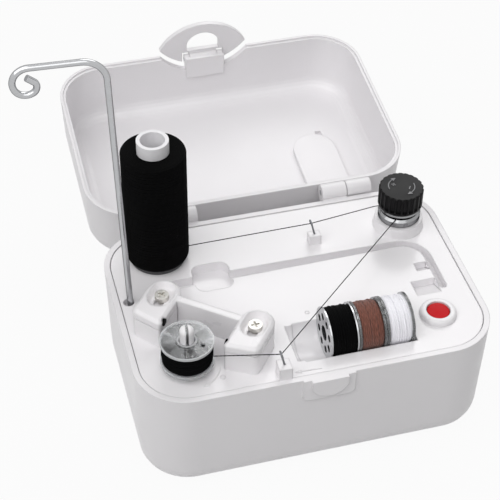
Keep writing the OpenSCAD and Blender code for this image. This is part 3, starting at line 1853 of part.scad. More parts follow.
module battery_leads() {
  rise = tray_x + tray_side + 1.8 * lead_room;
  color("#28282a")
    for (i = [0, 1])
      lead([[tray_x + tray_side + lead_end, board_y + i * lead_step, cell_z()],
         [rise - lead_room + i * lead_step * 0.75, board_y + i * lead_step, cell_z()],
         [rise + i * lead_step * 0.75, board_y + i * lead_step, cell_z() + cell_d * 0.55],
         [rise + i * lead_step * 0.75, board_y + i * lead_step, board_low - lead_end]]);
}

module sensor_leads() {
  low = board_low - 1.6 * lead_room;
  x = spindle_x + post_side + 0.5 * lead_room;
  y = spindle_y - 1.4 * lead_room;
  far_x = board_x - board_w / 2 + lead_room;
  color("#d9d9db")
    lead([[x, y, deck_bottom - lead_end],
       [x, y, low],
       [x + 2 * lead_room, y + 1.7 * lead_room, low],
       [store_right - 2 * lead_room, store_y - 0.3 * lead_room, low],
       [far_x, board_y + 0.3 * lead_room, low - 0.3 * lead_room],
       [far_x, board_y + 0.3 * lead_room, board_low - lead_end]]);
}

base_case();
deck();
lid();
hinge_pins();
lid_clasp();
clasp_pin();
deck_screws();
battery_tray();
battery_cells();
battery_springs();
battery_contacts();
battery_door();
battery_door_screw();
gear_plate();
gear_plate_screws();
motor_can();
motor_end_cap();
motor_shaft();
motor_pinion();
spindle_shaft();
spindle_gear();
spindle_hub();
upper_bush();
lower_bush();
winding_bobbin();
winding_bobbin_thread();
sensor_bracket();
sensor_screws();
sensor_emitter();
sensor_receiver();
rear_thread_hook();
front_thread_hook();
tension_stud();
tension_nut();
lower_tension_disc();
upper_tension_disc();
tension_spring();
tension_washer();
tension_knob();
start_button();
tact_switch();
circuit_board();
board_screws();
spool_pin();
spool_core();
spool_thread();
guide_rod();
metal_bobbin();
metal_bobbin_thread();
middle_bobbin();
middle_bobbin_thread();
end_bobbin();
end_bobbin_thread();
thread_run();
motor_leads();
battery_leads();
sensor_leads();
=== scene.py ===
"""Electric bobbin winder in a hinged case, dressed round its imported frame.

The script loads the frame, gives every rigid piece its finish, winds the thread, coils the springs, runs the
wires, raises the marks, and sets the camera, the floor and the light. It stops at the first fault.
"""

import math

import bpy
import numpy as np
from mathutils import Matrix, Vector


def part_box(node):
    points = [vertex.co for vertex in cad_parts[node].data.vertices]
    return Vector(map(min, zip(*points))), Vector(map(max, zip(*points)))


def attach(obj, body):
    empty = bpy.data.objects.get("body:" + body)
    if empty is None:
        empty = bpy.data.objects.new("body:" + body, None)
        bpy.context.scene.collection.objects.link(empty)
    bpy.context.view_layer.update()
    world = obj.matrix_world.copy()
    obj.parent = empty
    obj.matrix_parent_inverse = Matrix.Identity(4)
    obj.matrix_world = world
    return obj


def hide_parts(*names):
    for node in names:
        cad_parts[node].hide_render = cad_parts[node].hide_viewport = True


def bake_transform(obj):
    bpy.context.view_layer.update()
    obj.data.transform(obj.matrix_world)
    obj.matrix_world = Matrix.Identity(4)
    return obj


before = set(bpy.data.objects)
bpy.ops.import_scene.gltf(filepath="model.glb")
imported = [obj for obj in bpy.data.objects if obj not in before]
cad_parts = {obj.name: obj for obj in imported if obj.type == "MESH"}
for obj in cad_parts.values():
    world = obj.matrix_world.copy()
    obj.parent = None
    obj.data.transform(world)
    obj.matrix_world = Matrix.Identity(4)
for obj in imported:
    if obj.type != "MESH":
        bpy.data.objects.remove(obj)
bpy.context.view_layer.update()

bl_info = {
    "name": "Bobbin Winder",
    "version": (1, 0, 0),
    "blender": (4, 5, 0),
    "location": "View3D > Sidebar > Winder",
    "description": "Thread, springs, wires, marks and finishes of an electric bobbin winder",
    "category": "Object",
}

MM = 0.001
FULL_TURN = 2 * math.pi
SHARP_ANGLE = math.radians(40)

# How finely shapes are drawn: sides of a tube, points in a turn, and steps along a line
THREAD_SIDES, RUN_SIDES, SPRING_SIDES, WIRE_SIDES = 6, 8, 10, 12
SPRING_POINTS, FLOOR_POINTS, PACK_POINTS = 32, 64, 96
RUN_STEP, WIRE_STEP = 0.35 * MM, 0.8 * MM

# A wire shorter than this, in metres, stands by its own stiffness
SHORT_JUMPER = 0.03

# Packs of thread, in millimetres, just inside the flanges that hold them
SPOOL_LOW, SPOOL_HIGH = 2.2, 54.7
SPOOL_OUTER, SPOOL_BORE = 12.8, 6.45
SPOOL_ROUNDS = (1.6, 0.9)
BOBBIN_OUTER, BOBBIN_BORE = 9.65, 4.6
BOBBIN_HALF_WIDTH, FLANGE_GAP = 5.5, 0.12

# Turns that cross a bobbin's pack: lift in strands, share of the width, number, and looseness in strands
CROSSING_TURNS = (0.12, 0.8, 3.4, 0.8), (0.2, 0.8, 7.3, 1.0)

# Looks of a thread: share of its colour between the plies, where it is painted shade in the creases, fuzz of
# short fibres, and gloss
THREAD_LOOKS = {"black": (0.35, 0.01, 0.05), "brown": (0.4, 0.25, 0.2), "white": (0.95, 0.2, 0.25)}

# Springs, in millimetres. A battery spring narrows from its first radius to its second
CELL_SPRING_RADII, CELL_SPRING_LENGTH, CELL_SPRING_TURNS, CELL_SPRING_WIRE = (4.8, 3.4), 5.3, 5.5, 0.7
CELL_SPRING_PLACES = (25.55, -27.95, 10.05), (40.45, 27.95, 10.05)
TENSION_SPRING_RADIUS, TENSION_SPRING_TURNS, TENSION_SPRING_WIRE = 4.6, 5, 0.8

# In millimetres: height of the deck, of the spool core's foot that is painted dark as shade, and where the
# cells' band starts
DECK_TOP, SPOOL_SHADED_FOOT, CELL_BAND_FROM = 50.2, 2.3, 16.0

# Marks, in millimetres. An arc has two angles in degrees, its points, and its width at either end
MARK_ROOT, KNOB_MARK_RISE = 0.1, 0.2
SPIN_ARROW_RADIUS, KNOB_ARROW_RADIUS, KNOB_SIGN_RADIUS = 12.4, 5.4, 3.4
SPIN_ARROW = (-18, -66, 40, (0.25, 0.7)), (-66, -75, 10, (2.4, 0.15))
KNOB_ARROWS = (
    (118, 186, 28, (0.4, 0.4)), (118, 98, 8, (1.9, 0.15)),
    (298, 366, 28, (0.4, 0.4)), (298, 278, 8, (1.9, 0.15)),
)
DECK_RINGS = (
    ((-38.8, -39.0), 0.95, (0, 330, 30, (0.3, 0.3))),
    ((1.4, -14.1), 0.8, (20, 350, 30, (0.3, 0.3))),
)
ROUTE_ARROW = (
    ((-1.7, -43.85), (-9.6, -43.5), (0.35, 0.35)),
    ((-9.6, -43.5), (-11.8, -43.4), (1.7, 0.15)),
)
ROUTE_POINTS = 6
SIGN_REACH, SIGN_WIDTH = 0.9, 0.45

# Stage, in metres. A lamp has a place, a width and a share of the key lamp's power
CAMERA_SHIFT = (-0.0039, -0.0038)
FLOOR_RINGS, FLOOR_DROP, FLOOR_GLOW = (0.05, 0.4, 1.2, 3.0), 0.0002, 0.94
LAMP_AIM = (0.0, 0.0, 0.06)
LAMPS = (
    ("key", (-0.5, -0.25, 0.8), 1.0, 1.0),
    ("front_fill", (0.0, -0.6, 0.8), 0.7, 0.3),
    ("rear_fill", (0.45, 0.7, 0.8), 0.7, 0.64),
)

# Turns that carry a shape made along +Z to another axis
TO_Z = np.eye(3)
TO_X = np.array([[0, 0, 1], [0, 1, 0], [-1, 0, 0]])
TO_Y = np.array([[1, 0, 0], [0, 0, 1], [0, -1, 0]])
TO_MINUS_Y = np.array([[1, 0, 0], [0, 0, -1], [0, 1, 0]])

# Corner points of the thread on its way from the spool to the bobbin, in millimetres
THREAD_ROUTE = [
    (-46.8, 18.65, 65.6), (14.91, 26.2, 59.35), (43.7, 30.0, 59.3), (52.64, 29.35, 59.3),
    (54.56, 29.27, 59.3), (55.85, 27.86, 59.3), (55.77, 25.94, 59.3), (54.36, 24.65, 59.3),
    (49.0, 19.5, 59.3), (-18.12, -44.9, 63.41), (-42.86, -36.89, 60.68),
]

# Corner points of the wires inside the base, in millimetres
MOTOR_ROUTES = [
    [(-30.58, -21.58, 6.1), (-23.98, -21.58, 6.1), (2.8, -24.55, 6.1), (8.8, -24.55, 6.1),
     (11.8, -24.55, 22.3), (49.0, -28.6, 22.3), (49.0, -28.6, 37.0)],
    [(-30.58, -17.58, 6.1), (-23.98, -17.58, 6.1), (2.8, -20.55, 6.1), (8.8, -20.55, 6.1),
     (11.8, -20.55, 22.3), (52.0, -26.8, 22.3), (52.0, -26.8, 37.0)],
]
BATTERY_ROUTES = [
    [(49.75, -22.6, 10.05), (52.1, -22.6, 10.05), (55.1, -22.6, 18.03), (55.1, -22.6, 37.0)],
    [(49.75, -18.6, 10.05), (55.1, -18.6, 10.05), (58.1, -18.6, 18.03), (58.1, -18.6, 37.0)],
]
SENSOR_ROUTE = [
    (-29.15, -34.0, 47.65), (-29.15, -34.0, 32.25), (-23.15, -28.9, 32.25), (32.4, -29.7, 32.25),
    (45.5, -21.7, 31.35), (45.5, -21.7, 37.0),
]


def linear(hex_colour):
    """Linear RGBA of an sRGB hex value: c / 12.92 when dark, else ((c + 0.055) / 1.055) to the power 2.4."""
    parts = [int(hex_colour[k:k + 2], 16) / 255 for k in (1, 3, 5)]
    return tuple(c / 12.92 if c <= 0.04045 else ((c + 0.055) / 1.055) ** 2.4 for c in parts) + (1.0,)


def per_mm(size):
    """Pattern scale, per metre, of a feature that is so many millimetres across."""
    return 1.0 / (size * MM)


def unit(vectors):
    """Each row of an array made one long."""
    return vectors / np.linalg.norm(vectors, axis=-1, keepdims=True)


def distances(line):
    """Way along a line to each of its points: the running sum of its spans."""
    return np.concatenate([[0.0], np.cumsum(np.linalg.norm(np.diff(line, axis=0), axis=1))])


def round_off(depth, size):
    """Fall of a quarter circle of a size at a depth in from its edge: s - sqrt(s^2 - (s - d)^2) within s."""
    inside = np.clip(size - depth, 0.0, size)
    return size - np.sqrt(size * size - inside * inside)


# Surfaces


def grid_quads(rows, columns, wrap_rows=False):
    """Corners of the quads of a grid that closes across, whose point (i, j) is number i * columns + j."""
    i = np.arange(rows if wrap_rows else rows - 1)[:, None]
    j = np.arange(columns)[None, :]
    after_i = (i + 1) % rows
    after_j = (j + 1) % columns
    corners = (i * columns + j, after_i * columns + j, after_i * columns + after_j, i * columns + after_j)
    return np.stack(np.broadcast_arrays(*corners), -1).reshape(-1, 4)


def shell(vertices, blocks, maps=None):
    """A closed surface as (vertices, face blocks, map blocks), its faces pointing outwards.

    They do when the volume that they close, the sum of a . (b x c) / 6, is positive.
    """
    if maps is None:
        maps = [np.zeros(faces.shape + (2,)) for faces in blocks]
    volume = 0.0
    middle = vertices.mean(axis=0)
    for faces in blocks:
        corner = vertices[faces] - middle
        for k in range(1, faces.shape[1] - 1):
            volume += np.einsum("ij,ij->", corner[:, 0], np.cross(corner[:, k], corner[:, k + 1]))
    if volume < 0:
        blocks = [faces[:, ::-1] for faces in blocks]
        maps = [corners[:, ::-1] for corners in maps]
    return vertices, blocks, maps


def sweep(line, side, up, radius, sides):
    """Round section carried along a line: P(i, k) = line_i + r (cos a_k side_i + sin a_k up_i), ends closed.

    The map holds the way round the section and the length along the line, in metres.
    """
    rows = len(line)
    angle = FULL_TURN * np.arange(sides) / sides
    ring = np.cos(angle)[None, :, None] * side[:, None, :] + np.sin(angle)[None, :, None] * up[:, None, :]
    size = np.broadcast_to(radius, (rows, sides))
    vertices = (line[:, None, :] + size[:, :, None] * ring).reshape(-1, 3)
    quads = grid_quads(rows, sides)
    first = np.arange(sides)[None, ::-1]
    last = (np.arange(sides) + (rows - 1) * sides)[None, :]
    along = distances(line)
    i = np.repeat(np.arange(rows - 1), sides)
    j = np.tile(np.arange(sides), rows - 1)
    around = np.stack([j, j, j + 1, j + 1], -1) / sides
    length = np.stack([along[i], along[i + 1], along[i + 1], along[i]], -1)
    maps = [np.stack([around, length], -1), np.zeros((1, sides, 2)), np.zeros((1, sides, 2))]
    return shell(vertices, [quads, first, last], maps)


def tube(line, radius, sides, reference):
    """Tube along a line: up is direction x reference, side is up x direction, each made one long."""
    ahead = unit(np.gradient(line, axis=0))
    up = unit(np.cross(ahead, reference))
    return sweep(line, np.cross(up, ahead), up, radius, sides)


def coil(angle, radius, height, strand, sides):
    """Tube on the line (r cos a, r sin a, z), its section turned to the radius and the axis."""
    out = np.stack([np.cos(angle), np.sin(angle), np.zeros_like(angle)], -1)
    line = radius[:, None] * out
    line[:, 2] = height
    ahead = unit(np.gradient(line, axis=0))
    up = unit(np.cross(ahead, out))
    return sweep(line, out, up, strand / 2, sides)


def sway(angle, pace):
    """Slow wander between -1 and 1: a mean of three sines whose paces share no common measure."""
    return (np.sin(0.37 * pace * angle + 0.4) + np.sin(0.61 * pace * angle + 1.9)
            + np.sin(1.13 * pace * angle + 4.1)) / 3


def winding(radius, low, high, turns, strand, steps, loose, rounds=(0.0, 0.0)):
    """Outer layer of a thread pack as one tube.

    The line climbs from low to high in so many turns and sways by loose strands along the axis and a third
    of that on the radius. Within a round of each end the radius follows a quarter circle, and the two ends
    of the strand dive one strand into the pack.
    """
    angle = np.linspace(0.0, FULL_TURN * turns, int(turns * steps) + 1)
    share = angle / angle[-1]
    from_end = np.minimum(share, 1 - share) * turns
    calm = np.clip(from_end, 0.0, 1.0)
    height = low + strand / 2 + (high - low - strand) * share
    height = height + loose * strand * calm * sway(angle, 1.0)
    reach = radius - strand / 2 + loose * strand / 3 * sway(angle, 2.3)
    reach = reach - round_off(height - low, rounds[0]) - round_off(high - height, rounds[1])
    dive = np.clip(1 - from_end * 4, 0.0, 1.0)
    return coil(angle, reach - strand * dive * dive, height, strand, THREAD_SIDES)


def rings(radius, height, columns):
    """A ring of points round the axis at each radius and height: (r cos a, r sin a, z)."""
    angle = FULL_TURN * np.arange(columns) / columns
    parts = radius[:, None] * np.cos(angle), radius[:, None] * np.sin(angle), height[:, None]
    return np.stack(np.broadcast_arrays(*parts), -1).reshape(-1, 3)


def pack_core(inner, outer, low, high, strand, rounds=(0.0, 0.0)):
    """Body under the outer turns of a pack, with turns showing as ripples on both end faces.

    Profile: end faces at low and high that rise and fall by an eighth of a strand as a sine of the radius,
    an outer side between them with a quarter circle at each end, and a plain bore, turned round the axis.
    """
    count = max(8, int((outer - inner) / strand * 6))
    across = np.linspace(inner, outer, count)
    ripple = strand / 8 * np.sin(FULL_TURN * (across - inner) / strand)
    bottom = np.stack([across, low + round_off(outer - across, rounds[0]) + ripple], -1)
    top = np.stack([across, high - round_off(outer - across, rounds[1]) + ripple], -1)[::-1]
    profile = np.concatenate([bottom, top])
    vertices = rings(profile[:, 0], profile[:, 1], PACK_POINTS)
    return shell(vertices, [grid_quads(len(profile), PACK_POINTS, wrap_rows=True)])


def spring(radius_low, radius_high, length, turns, wire):
    """Coil spring along +Z: its radius changes evenly, and its first and last turns lie shut."""
    angle = np.linspace(0.0, FULL_TURN * turns, int(turns * SPRING_POINTS) + 1)
    count = angle / FULL_TURN
    height = np.interp(count, [0, 1, turns - 1, turns],
                       [wire / 2, wire * 1.5, length - wire * 1.5, length - wire / 2])
    radius = np.interp(count, [0, turns], [radius_low - wire / 2, radius_high - wire / 2])
    return coil(angle, radius, height, wire, SPRING_SIDES)


def bar(line, width, low, high):
    """Raised flat bar along a line in the plane: a box section whose width may change along the line."""
    rows = len(line)
    ahead = unit(np.gradient(line, axis=0))
    side = np.stack([-ahead[:, 1], ahead[:, 0]], -1)
    half = np.full(rows, width)[:, None] / 2
    left = line + side * half
    right = line - side * half
    flat = np.stack([left, right, right, left], 1)
    level = np.tile([low, low, high, high], (rows, 1))
    vertices = np.concatenate([flat, level[:, :, None]], -1).reshape(-1, 3)
    first = np.array([[3, 2, 1, 0]])
    last = np.array([[0, 1, 2, 3]]) + (rows - 1) * 4
    return shell(vertices, [grid_quads(rows, 4), first, last])


def raised_arc(centre, radius, row, low, high):
    """Raised bar on a circle's arc, (x + r cos a, y + r sin a), its width changing evenly along it."""
    start, end, points, widths = row
    angle = np.radians(np.linspace(start, end, points))
    line = np.stack([centre[0] + radius * np.cos(angle), centre[1] + radius * np.sin(angle)], -1)
    return bar(line, np.linspace(*widths, points) * MM, low, high)


def placed(made, origin, turn=TO_Z):
    """A shell turned to its axis and moved to its place."""
    vertices, blocks, maps = made
    return vertices @ turn.T + origin, blocks, maps


def eased(line, times):
    """Corner cutting: each span gives its points at a quarter and at three quarters, and the ends stay."""
    for _ in range(times):
        cut = np.stack([0.75 * line[:-1] + 0.25 * line[1:], 0.25 * line[:-1] + 0.75 * line[1:]], 1)
        line = np.concatenate([line[:1], cut.reshape(-1, 3), line[-1:]])
    return line


def even_line(line, step):
    """The same line with points a step apart along it."""
    along = distances(line)
    at = np.linspace(0.0, along[-1], int(along[-1] / step) + 1)
    return np.stack([np.interp(at, along, line[:, k]) for k in range(3)], -1)


def line_length(line):
    """Length of a line of points."""
    return float(distances(line)[-1])


def put(name, data):
    """A new object in the scene."""
    made = bpy.data.objects.new(name, data)
    bpy.context.scene.collection.objects.link(made)
    return made


def make_piece(name, shells, material, body, nodes=()):
    """One mesh object from shells, with its map, its finish, its body if it rides, and what it replaces."""
    mesh = bpy.data.meshes.new(name)
    start = np.cumsum([0] + [len(made[0]) for made in shells])
    vertices = np.concatenate([made[0] for made in shells])
    blocks = [faces + start[k] for k, made in enumerate(shells) for faces in made[1]]
    maps = [corners for made in shells for corners in made[2]]
    counts = np.concatenate([np.full(len(faces), faces.shape[1]) for faces in blocks])
    corners = np.concatenate([faces.ravel() for faces in blocks])
    mesh.vertices.add(len(vertices))
    mesh.vertices.foreach_set("co", vertices.astype(np.float32).ravel())
    mesh.loops.add(len(corners))
    mesh.loops.foreach_set("vertex_index", corners.astype(np.int32))
    mesh.polygons.add(len(counts))
    mesh.polygons.foreach_set("loop_start", np.concatenate([[0], np.cumsum(counts)[:-1]]).astype(np.int32))
    mesh.update(calc_edges=True)
    layer = mesh.uv_layers.new(name="along")
    layer.data.foreach_set("uv", np.concatenate([c.reshape(-1, 2) for c in maps]).astype(np.float32).ravel())
    if mesh.validate():
        raise RuntimeError(name + " has faces that do not close")
    mesh.shade_smooth()
    mesh.set_sharp_from_angle(angle=SHARP_ANGLE)
    mesh.materials.append(material)
    made = put(name, mesh)
    if body:
        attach(made, body)
    if nodes:
        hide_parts(*nodes)
    return made


# Finishes


def add_node(tree, kind, inputs, **settings):
    """Add a shader node with its settings, and link or set its inputs. A node stands for its first output."""
    made = tree.nodes.new("ShaderNode" + kind)
    for name, value in settings.items():
        setattr(made, name, value)
    for name, value in inputs.items():
        socket = made.inputs[name]
        if isinstance(value, bpy.types.Node):
            value = value.outputs[0]
        if isinstance(value, bpy.types.NodeSocket):
            tree.links.new(value, socket)
        else:
            socket.default_value = value
    return made


def new_finish(name):
    """A node material, still empty, its tree, and the piece's own coordinates for its patterns."""
    made = bpy.data.materials.new(name)
    made.use_nodes = True
    tree = made.node_tree
    tree.nodes.clear()
    return made, tree, add_node(tree, "TexCoord", {}).outputs["Object"]


def noise(tree, place, size, detail):
    """A noise whose features are so many millimetres across."""
    return add_node(tree, "TexNoise", {"Vector": place, "Scale": per_mm(size), "Detail": detail})


def between(tree, share, first, second):
    """The colour that is a share of the way from the first to the second."""
    return add_node(tree, "Mix", {0: share, 6: first, 7: second}, data_type="RGBA").outputs[2]


def ranged(tree, value, source=(0.0, 1.0), target=(0.0, 1.0)):
    """A value carried from one range to another and held at its ends."""
    limits = zip(("From Min", "From Max", "To Min", "To Max"), (*source, *target))
    return add_node(tree, "MapRange", {"Value": value, **dict(limits)})


def relief(tree, height, strength, depth, edge=0.0):
    """Bump of a depth in millimetres, over edges that look rounded where an edge radius is given."""
    inputs = {"Height": height, "Strength": strength, "Distance": depth * MM}
    if edge:
        inputs["Normal"] = add_node(tree, "Bevel", {"Radius": edge * MM}, samples=4)
    return add_node(tree, "Bump", inputs)


def finished(made, kind, inputs):
    """A material closed with its last shader and its output."""
    tree = made.node_tree
    add_node(tree, "OutputMaterial", {"Surface": add_node(tree, kind, inputs)})
    return made


def seen_directly(tree):
    """One where a ray comes from the camera, off a gloss or through a clear piece, and nought elsewhere."""
    path = add_node(tree, "LightPath", {})
    seen = path.outputs["Is Camera Ray"]
    for kind in ("Is Glossy Ray", "Is Transmission Ray"):
        seen = add_node(tree, "Math", {0: seen, 1: path.outputs[kind]}, operation="MAXIMUM")
    return seen


def darker(colour, share):
    """A colour brought down to a share of its light."""
    return tuple(c * share for c in colour[:3]) + (1.0,)


def moulded_plastic(name, colour, roughness, grain, depth, edge, cloud, shine=0.5, sockets=None, foot=None):
    """Injection-moulded plastic.

    The tool leaves a fine grain and edges that are never quite sharp, the pigment is faintly cloudy, and
    handling makes the gloss uneven. Grain, depth and edge are in millimetres. A shaded foot is painted
    shade: a darker colour and the height that it reaches up to.
    """
    made, tree, place = new_finish(name)
    pigment = noise(tree, place, size=26, detail=3.0)
    tint = between(tree, pigment, darker(colour, cloud), colour)
    if foot:
        level = add_node(tree, "SeparateXYZ", {"Vector": place}).outputs[2]
        # Painted shade: below the foot's height the colour turns to the foot's dark grey
        in_painted_shade = add_node(tree, "Math", {0: level, 1: foot[1]}, operation="LESS_THAN")
        tint = between(tree, in_painted_shade, tint, foot[0])
    handling = noise(tree, place, size=6, detail=4.0)
    gloss = ranged(tree, handling, (0.3, 0.7), (roughness * 0.85, roughness * 1.15))
    tool = noise(tree, place, grain, detail=2.0)
    bump = relief(tree, tool, strength=0.6, depth=depth, edge=edge)
    return finished(made, "BsdfPrincipled", {
        "Base Color": tint, "Roughness": gloss, "Normal": bump, "IOR": 1.53,
        "Specular IOR Level": shine, **(sockets or {})})


def worked_metal(name, colour, roughness, mark, stretch, depth, edge, rim):
    """Metal that was drawn, turned or rolled.

    Fine marks run the way it was worked, as a noise stretched along that way, and vary its gloss, and the
    colour dulls a little in patches. Mark, depth and edge are in millimetres. The rim colour is what it
    keeps at a grazing angle; a dark rim colour is a painted dark reflection at the edges.
    """
    made, tree, place = new_finish(name)
    way = add_node(tree, "Mapping", {"Vector": place, "Scale": stretch})
    marks = noise(tree, way, mark, detail=3.0)
    dull = noise(tree, place, size=4, detail=3.0)
    tint = between(tree, dull, darker(colour, 0.86), colour)
    gloss = ranged(tree, marks, (0.25, 0.75), (roughness * 0.75, roughness * 1.3))
    bump = relief(tree, marks, strength=0.5, depth=depth, edge=edge)
    # A dark rim colour paints dark reflections at grazing angles
    return finished(made, "BsdfPrincipled", {
        "Base Color": tint, "Metallic": 1.0, "Roughness": gloss, "Normal": bump,
        "Specular Tint": linear(rim)})


def spun_thread(name, colour, crease_shade, twist, fuzz, gloss):
    """Spun polyester thread.

    Its plies show as slanting bands along the strand, short fibres stand off and catch the light as sheen,
    and the colour is darker between the plies and in patches of fibres, as painted shade in the creases.
    """
    made, tree, place = new_finish(name)
    strand = add_node(tree, "UVMap", {}, uv_map="along")
    slant = add_node(tree, "Mapping", {"Vector": strand, "Scale": (1.0, per_mm(twist), 1.0)})
    plies = add_node(tree, "TexWave", {"Vector": slant, "Scale": 0.32, "Distortion": 0.4, "Detail": 1.0},
                     bands_direction="DIAGONAL")
    fibre = noise(tree, place, size=0.5, detail=4.0)
    mixed = add_node(tree, "Math", {0: plies.outputs[1], 1: fibre}, operation="MULTIPLY")
    # Painted shade: the colour darkens in the creases between the plies
    tint = between(tree, mixed, crease_shade, colour)
    bump = relief(tree, mixed, strength=0.5, depth=0.08)
    return finished(made, "BsdfPrincipled", {
        "Base Color": tint, "Roughness": 0.85, "Normal": bump, "Specular IOR Level": gloss,
        "Sheen Weight": fuzz, "Sheen Roughness": 0.5})


def clear_moulding(name, colour, axis_at, turn, radius, haze):
    """Clear moulded polystyrene.

    The melt runs out from the hub, so its flow lines are spokes: a noise on the direction out from the axis,
    with a little of the radius added. Light passes through it, and a haze shows as pale patches, most of all
    on the collar round the bore; the pale ring on the rounded rim is a painted highlight.
    """
    made, tree, place = new_finish(name)
    own = add_node(tree, "Mapping", {"Vector": place, "Location": axis_at, "Rotation": turn},
                   vector_type="TEXTURE")
    flat = add_node(tree, "Mapping", {"Vector": own, "Scale": (1 / radius, 1 / radius, 0.0)})
    out = add_node(tree, "VectorMath", {0: flat}, operation="NORMALIZE")
    spoke = add_node(tree, "VectorMath", {0: flat, 1: (0.4, 0.4, 0.4), 2: out}, operation="MULTIPLY_ADD")
    flow = add_node(tree, "TexNoise", {"Vector": spoke, "Scale": 1.0, "Detail": 5.0, "Roughness": 0.6})
    spokes = ranged(tree, flow, (0.4, 0.72))
    reach = add_node(tree, "VectorMath", {0: flat}, operation="LENGTH").outputs["Value"]
    # The outer ring is a painted highlight on the rim; the inner one is haze on the collar
    for rise in ((0.92, 0.97), (0.42, 0.36)):
        ring = ranged(tree, reach, rise)
        spokes = add_node(tree, "Math", {0: spokes, 1: ring}, operation="MAXIMUM")
    tint = between(tree, spokes, darker(colour, 0.7), colour)
    clear = ranged(tree, spokes, target=(0.98, 1.0 - haze))
    gloss = ranged(tree, spokes, target=(0.042, 0.126))
    bump = relief(tree, flow, strength=0.6, depth=0.15, edge=0.4)
    return finished(made, "BsdfPrincipled", {
        "Base Color": tint, "Roughness": gloss, "Normal": bump, "IOR": 1.58,
        "Transmission Weight": clear})


def printed_jacket(name, colour, band, centre):
    """Shrink film round a battery cell: a colour, a band of another at one end, and fine wrinkles."""
    made, tree, place = new_finish(name)
    split = add_node(tree, "SeparateXYZ", {"Vector": place})
    side = add_node(tree, "Math", {0: split.outputs[1], 1: centre}, operation="GREATER_THAN")
    tint = between(tree, side, colour, band)
    folds = noise(tree, place, size=2.5, detail=3.0)
    gloss = ranged(tree, folds, target=(0.22, 0.4))
    bump = relief(tree, folds, strength=0.4, depth=0.1)
    return finished(made, "BsdfPrincipled", {"Base Color": tint, "Roughness": gloss, "Normal": bump})


def masked_board(name, colour, copper):
    """Fibreglass board under solder mask: copper tracks show through it as paler lines on a grid."""
    made, tree, place = new_finish(name)
    tracks = add_node(tree, "TexBrick", {
        "Vector": place, "Color1": colour, "Color2": darker(colour, 0.9), "Mortar": copper, "Scale": 1.0,
        "Mortar Size": 0.25 * MM, "Brick Width": 5.0 * MM, "Row Height": 2.5 * MM})
    weave = noise(tree, place, size=0.8, detail=2.0)
    bump = relief(tree, weave, strength=0.4, depth=0.04)
    return finished(made, "BsdfPrincipled", {"Base Color": tracks, "Roughness": 0.35, "Normal": bump})


def pale_floor(name, colour):
    """Matt painted board.

    A camera ray sees it mostly as its own light, so that it is near white and still keeps the shadow.
    """
    made, tree, place = new_finish(name)
    paint = noise(tree, place, size=60, detail=2.0)
    tint = between(tree, paint, darker(colour, 0.99), colour)
    board = add_node(tree, "BsdfDiffuse", {"Color": tint})
    glow = add_node(tree, "Emission", {"Strength": 1.0})
    share = add_node(tree, "Math", {0: seen_directly(tree), 1: FLOOR_GLOW}, operation="MULTIPLY")
    return finished(made, "MixShader", {0: share, 1: board, 2: glow})


# Settings


def colour_setting(name, description, hex_colour):
    """A colour property whose default is the linear value of an sRGB hex."""
    return bpy.props.FloatVectorProperty(name=name, description=description, default=linear(hex_colour),
                                         size=4, min=0.0, max=1.0, subtype="COLOR")


def size_setting(name, description, millimetres):
    """A length property in metres whose default is given in millimetres."""
    return bpy.props.FloatProperty(name=name, description=description, default=millimetres * MM,
                                   min=0.0, precision=5, subtype="DISTANCE", unit="LENGTH")


def angle_setting(name, description, degrees):
    """An angle property whose default is given in degrees."""
    return bpy.props.FloatProperty(name=name, description=description, default=math.radians(degrees),
                                   subtype="ANGLE", unit="ROTATION")


class WINDER_PG_colours(bpy.types.PropertyGroup):
    """Colours of the winder's plastics, metals and threads."""

    case: colour_setting("Case", "White ABS of the base, lid and clasp", "#EDEBED")
    deck: colour_setting("Deck", "White ABS of the deck and the bracket", "#F0EEF0")
    core: colour_setting("Spool core", "Natural polypropylene of the spool's core", "#EEEDEF")
    knob: colour_setting("Knob", "Black ABS of the tension knob", "#060607")
    button: colour_setting("Button", "Red ABS of the start button", "#CD161E")
    clear: colour_setting("Clear bobbin", "Clear polystyrene of the bobbins", "#EEF0F2")
    black_thread: colour_setting("Black thread", "Thread on the spool and two bobbins", "#060607")
    brown_thread: colour_setting("Brown thread", "Thread on the middle bobbin", "#9E6555")
    white_thread: colour_setting("White thread", "Thread on the last bobbin", "#FBFAFF")
    nickel: colour_setting("Nickel", "Plating of the rod, the discs and the first bobbin", "#BFC0C2")
    steel: colour_setting("Steel", "Zinc-plated screws, pins and shafts", "#B4B6B8")
    brass: colour_setting("Brass", "Pinion and bushes", "#C9A85A")


class WINDER_PG_sizes(bpy.types.PropertyGroup):
    """Sizes of the thread, the wires and the marks."""

    # Real thread is about half as thick: what is wound is drawn coarse so that its turns show
    spool_strand: size_setting("Spool strand", "Thickness of the thread wound on the spool", 0.62)
    bobbin_strand: size_setting("Bobbin strand", "Thickness of the thread wound on the bobbins", 0.64)
    run_strand: size_setting("Running thread", "Thickness of the thread between spool and bobbin", 0.36)
    ply: size_setting("Ply twist", "Length of thread that one twist of its plies takes", 1.6)
    wire: size_setting("Wire", "Thickness of an insulated wire", 1.4)
    mark_rise: size_setting("Mark height", "How far a moulded mark stands off its face", 0.22)


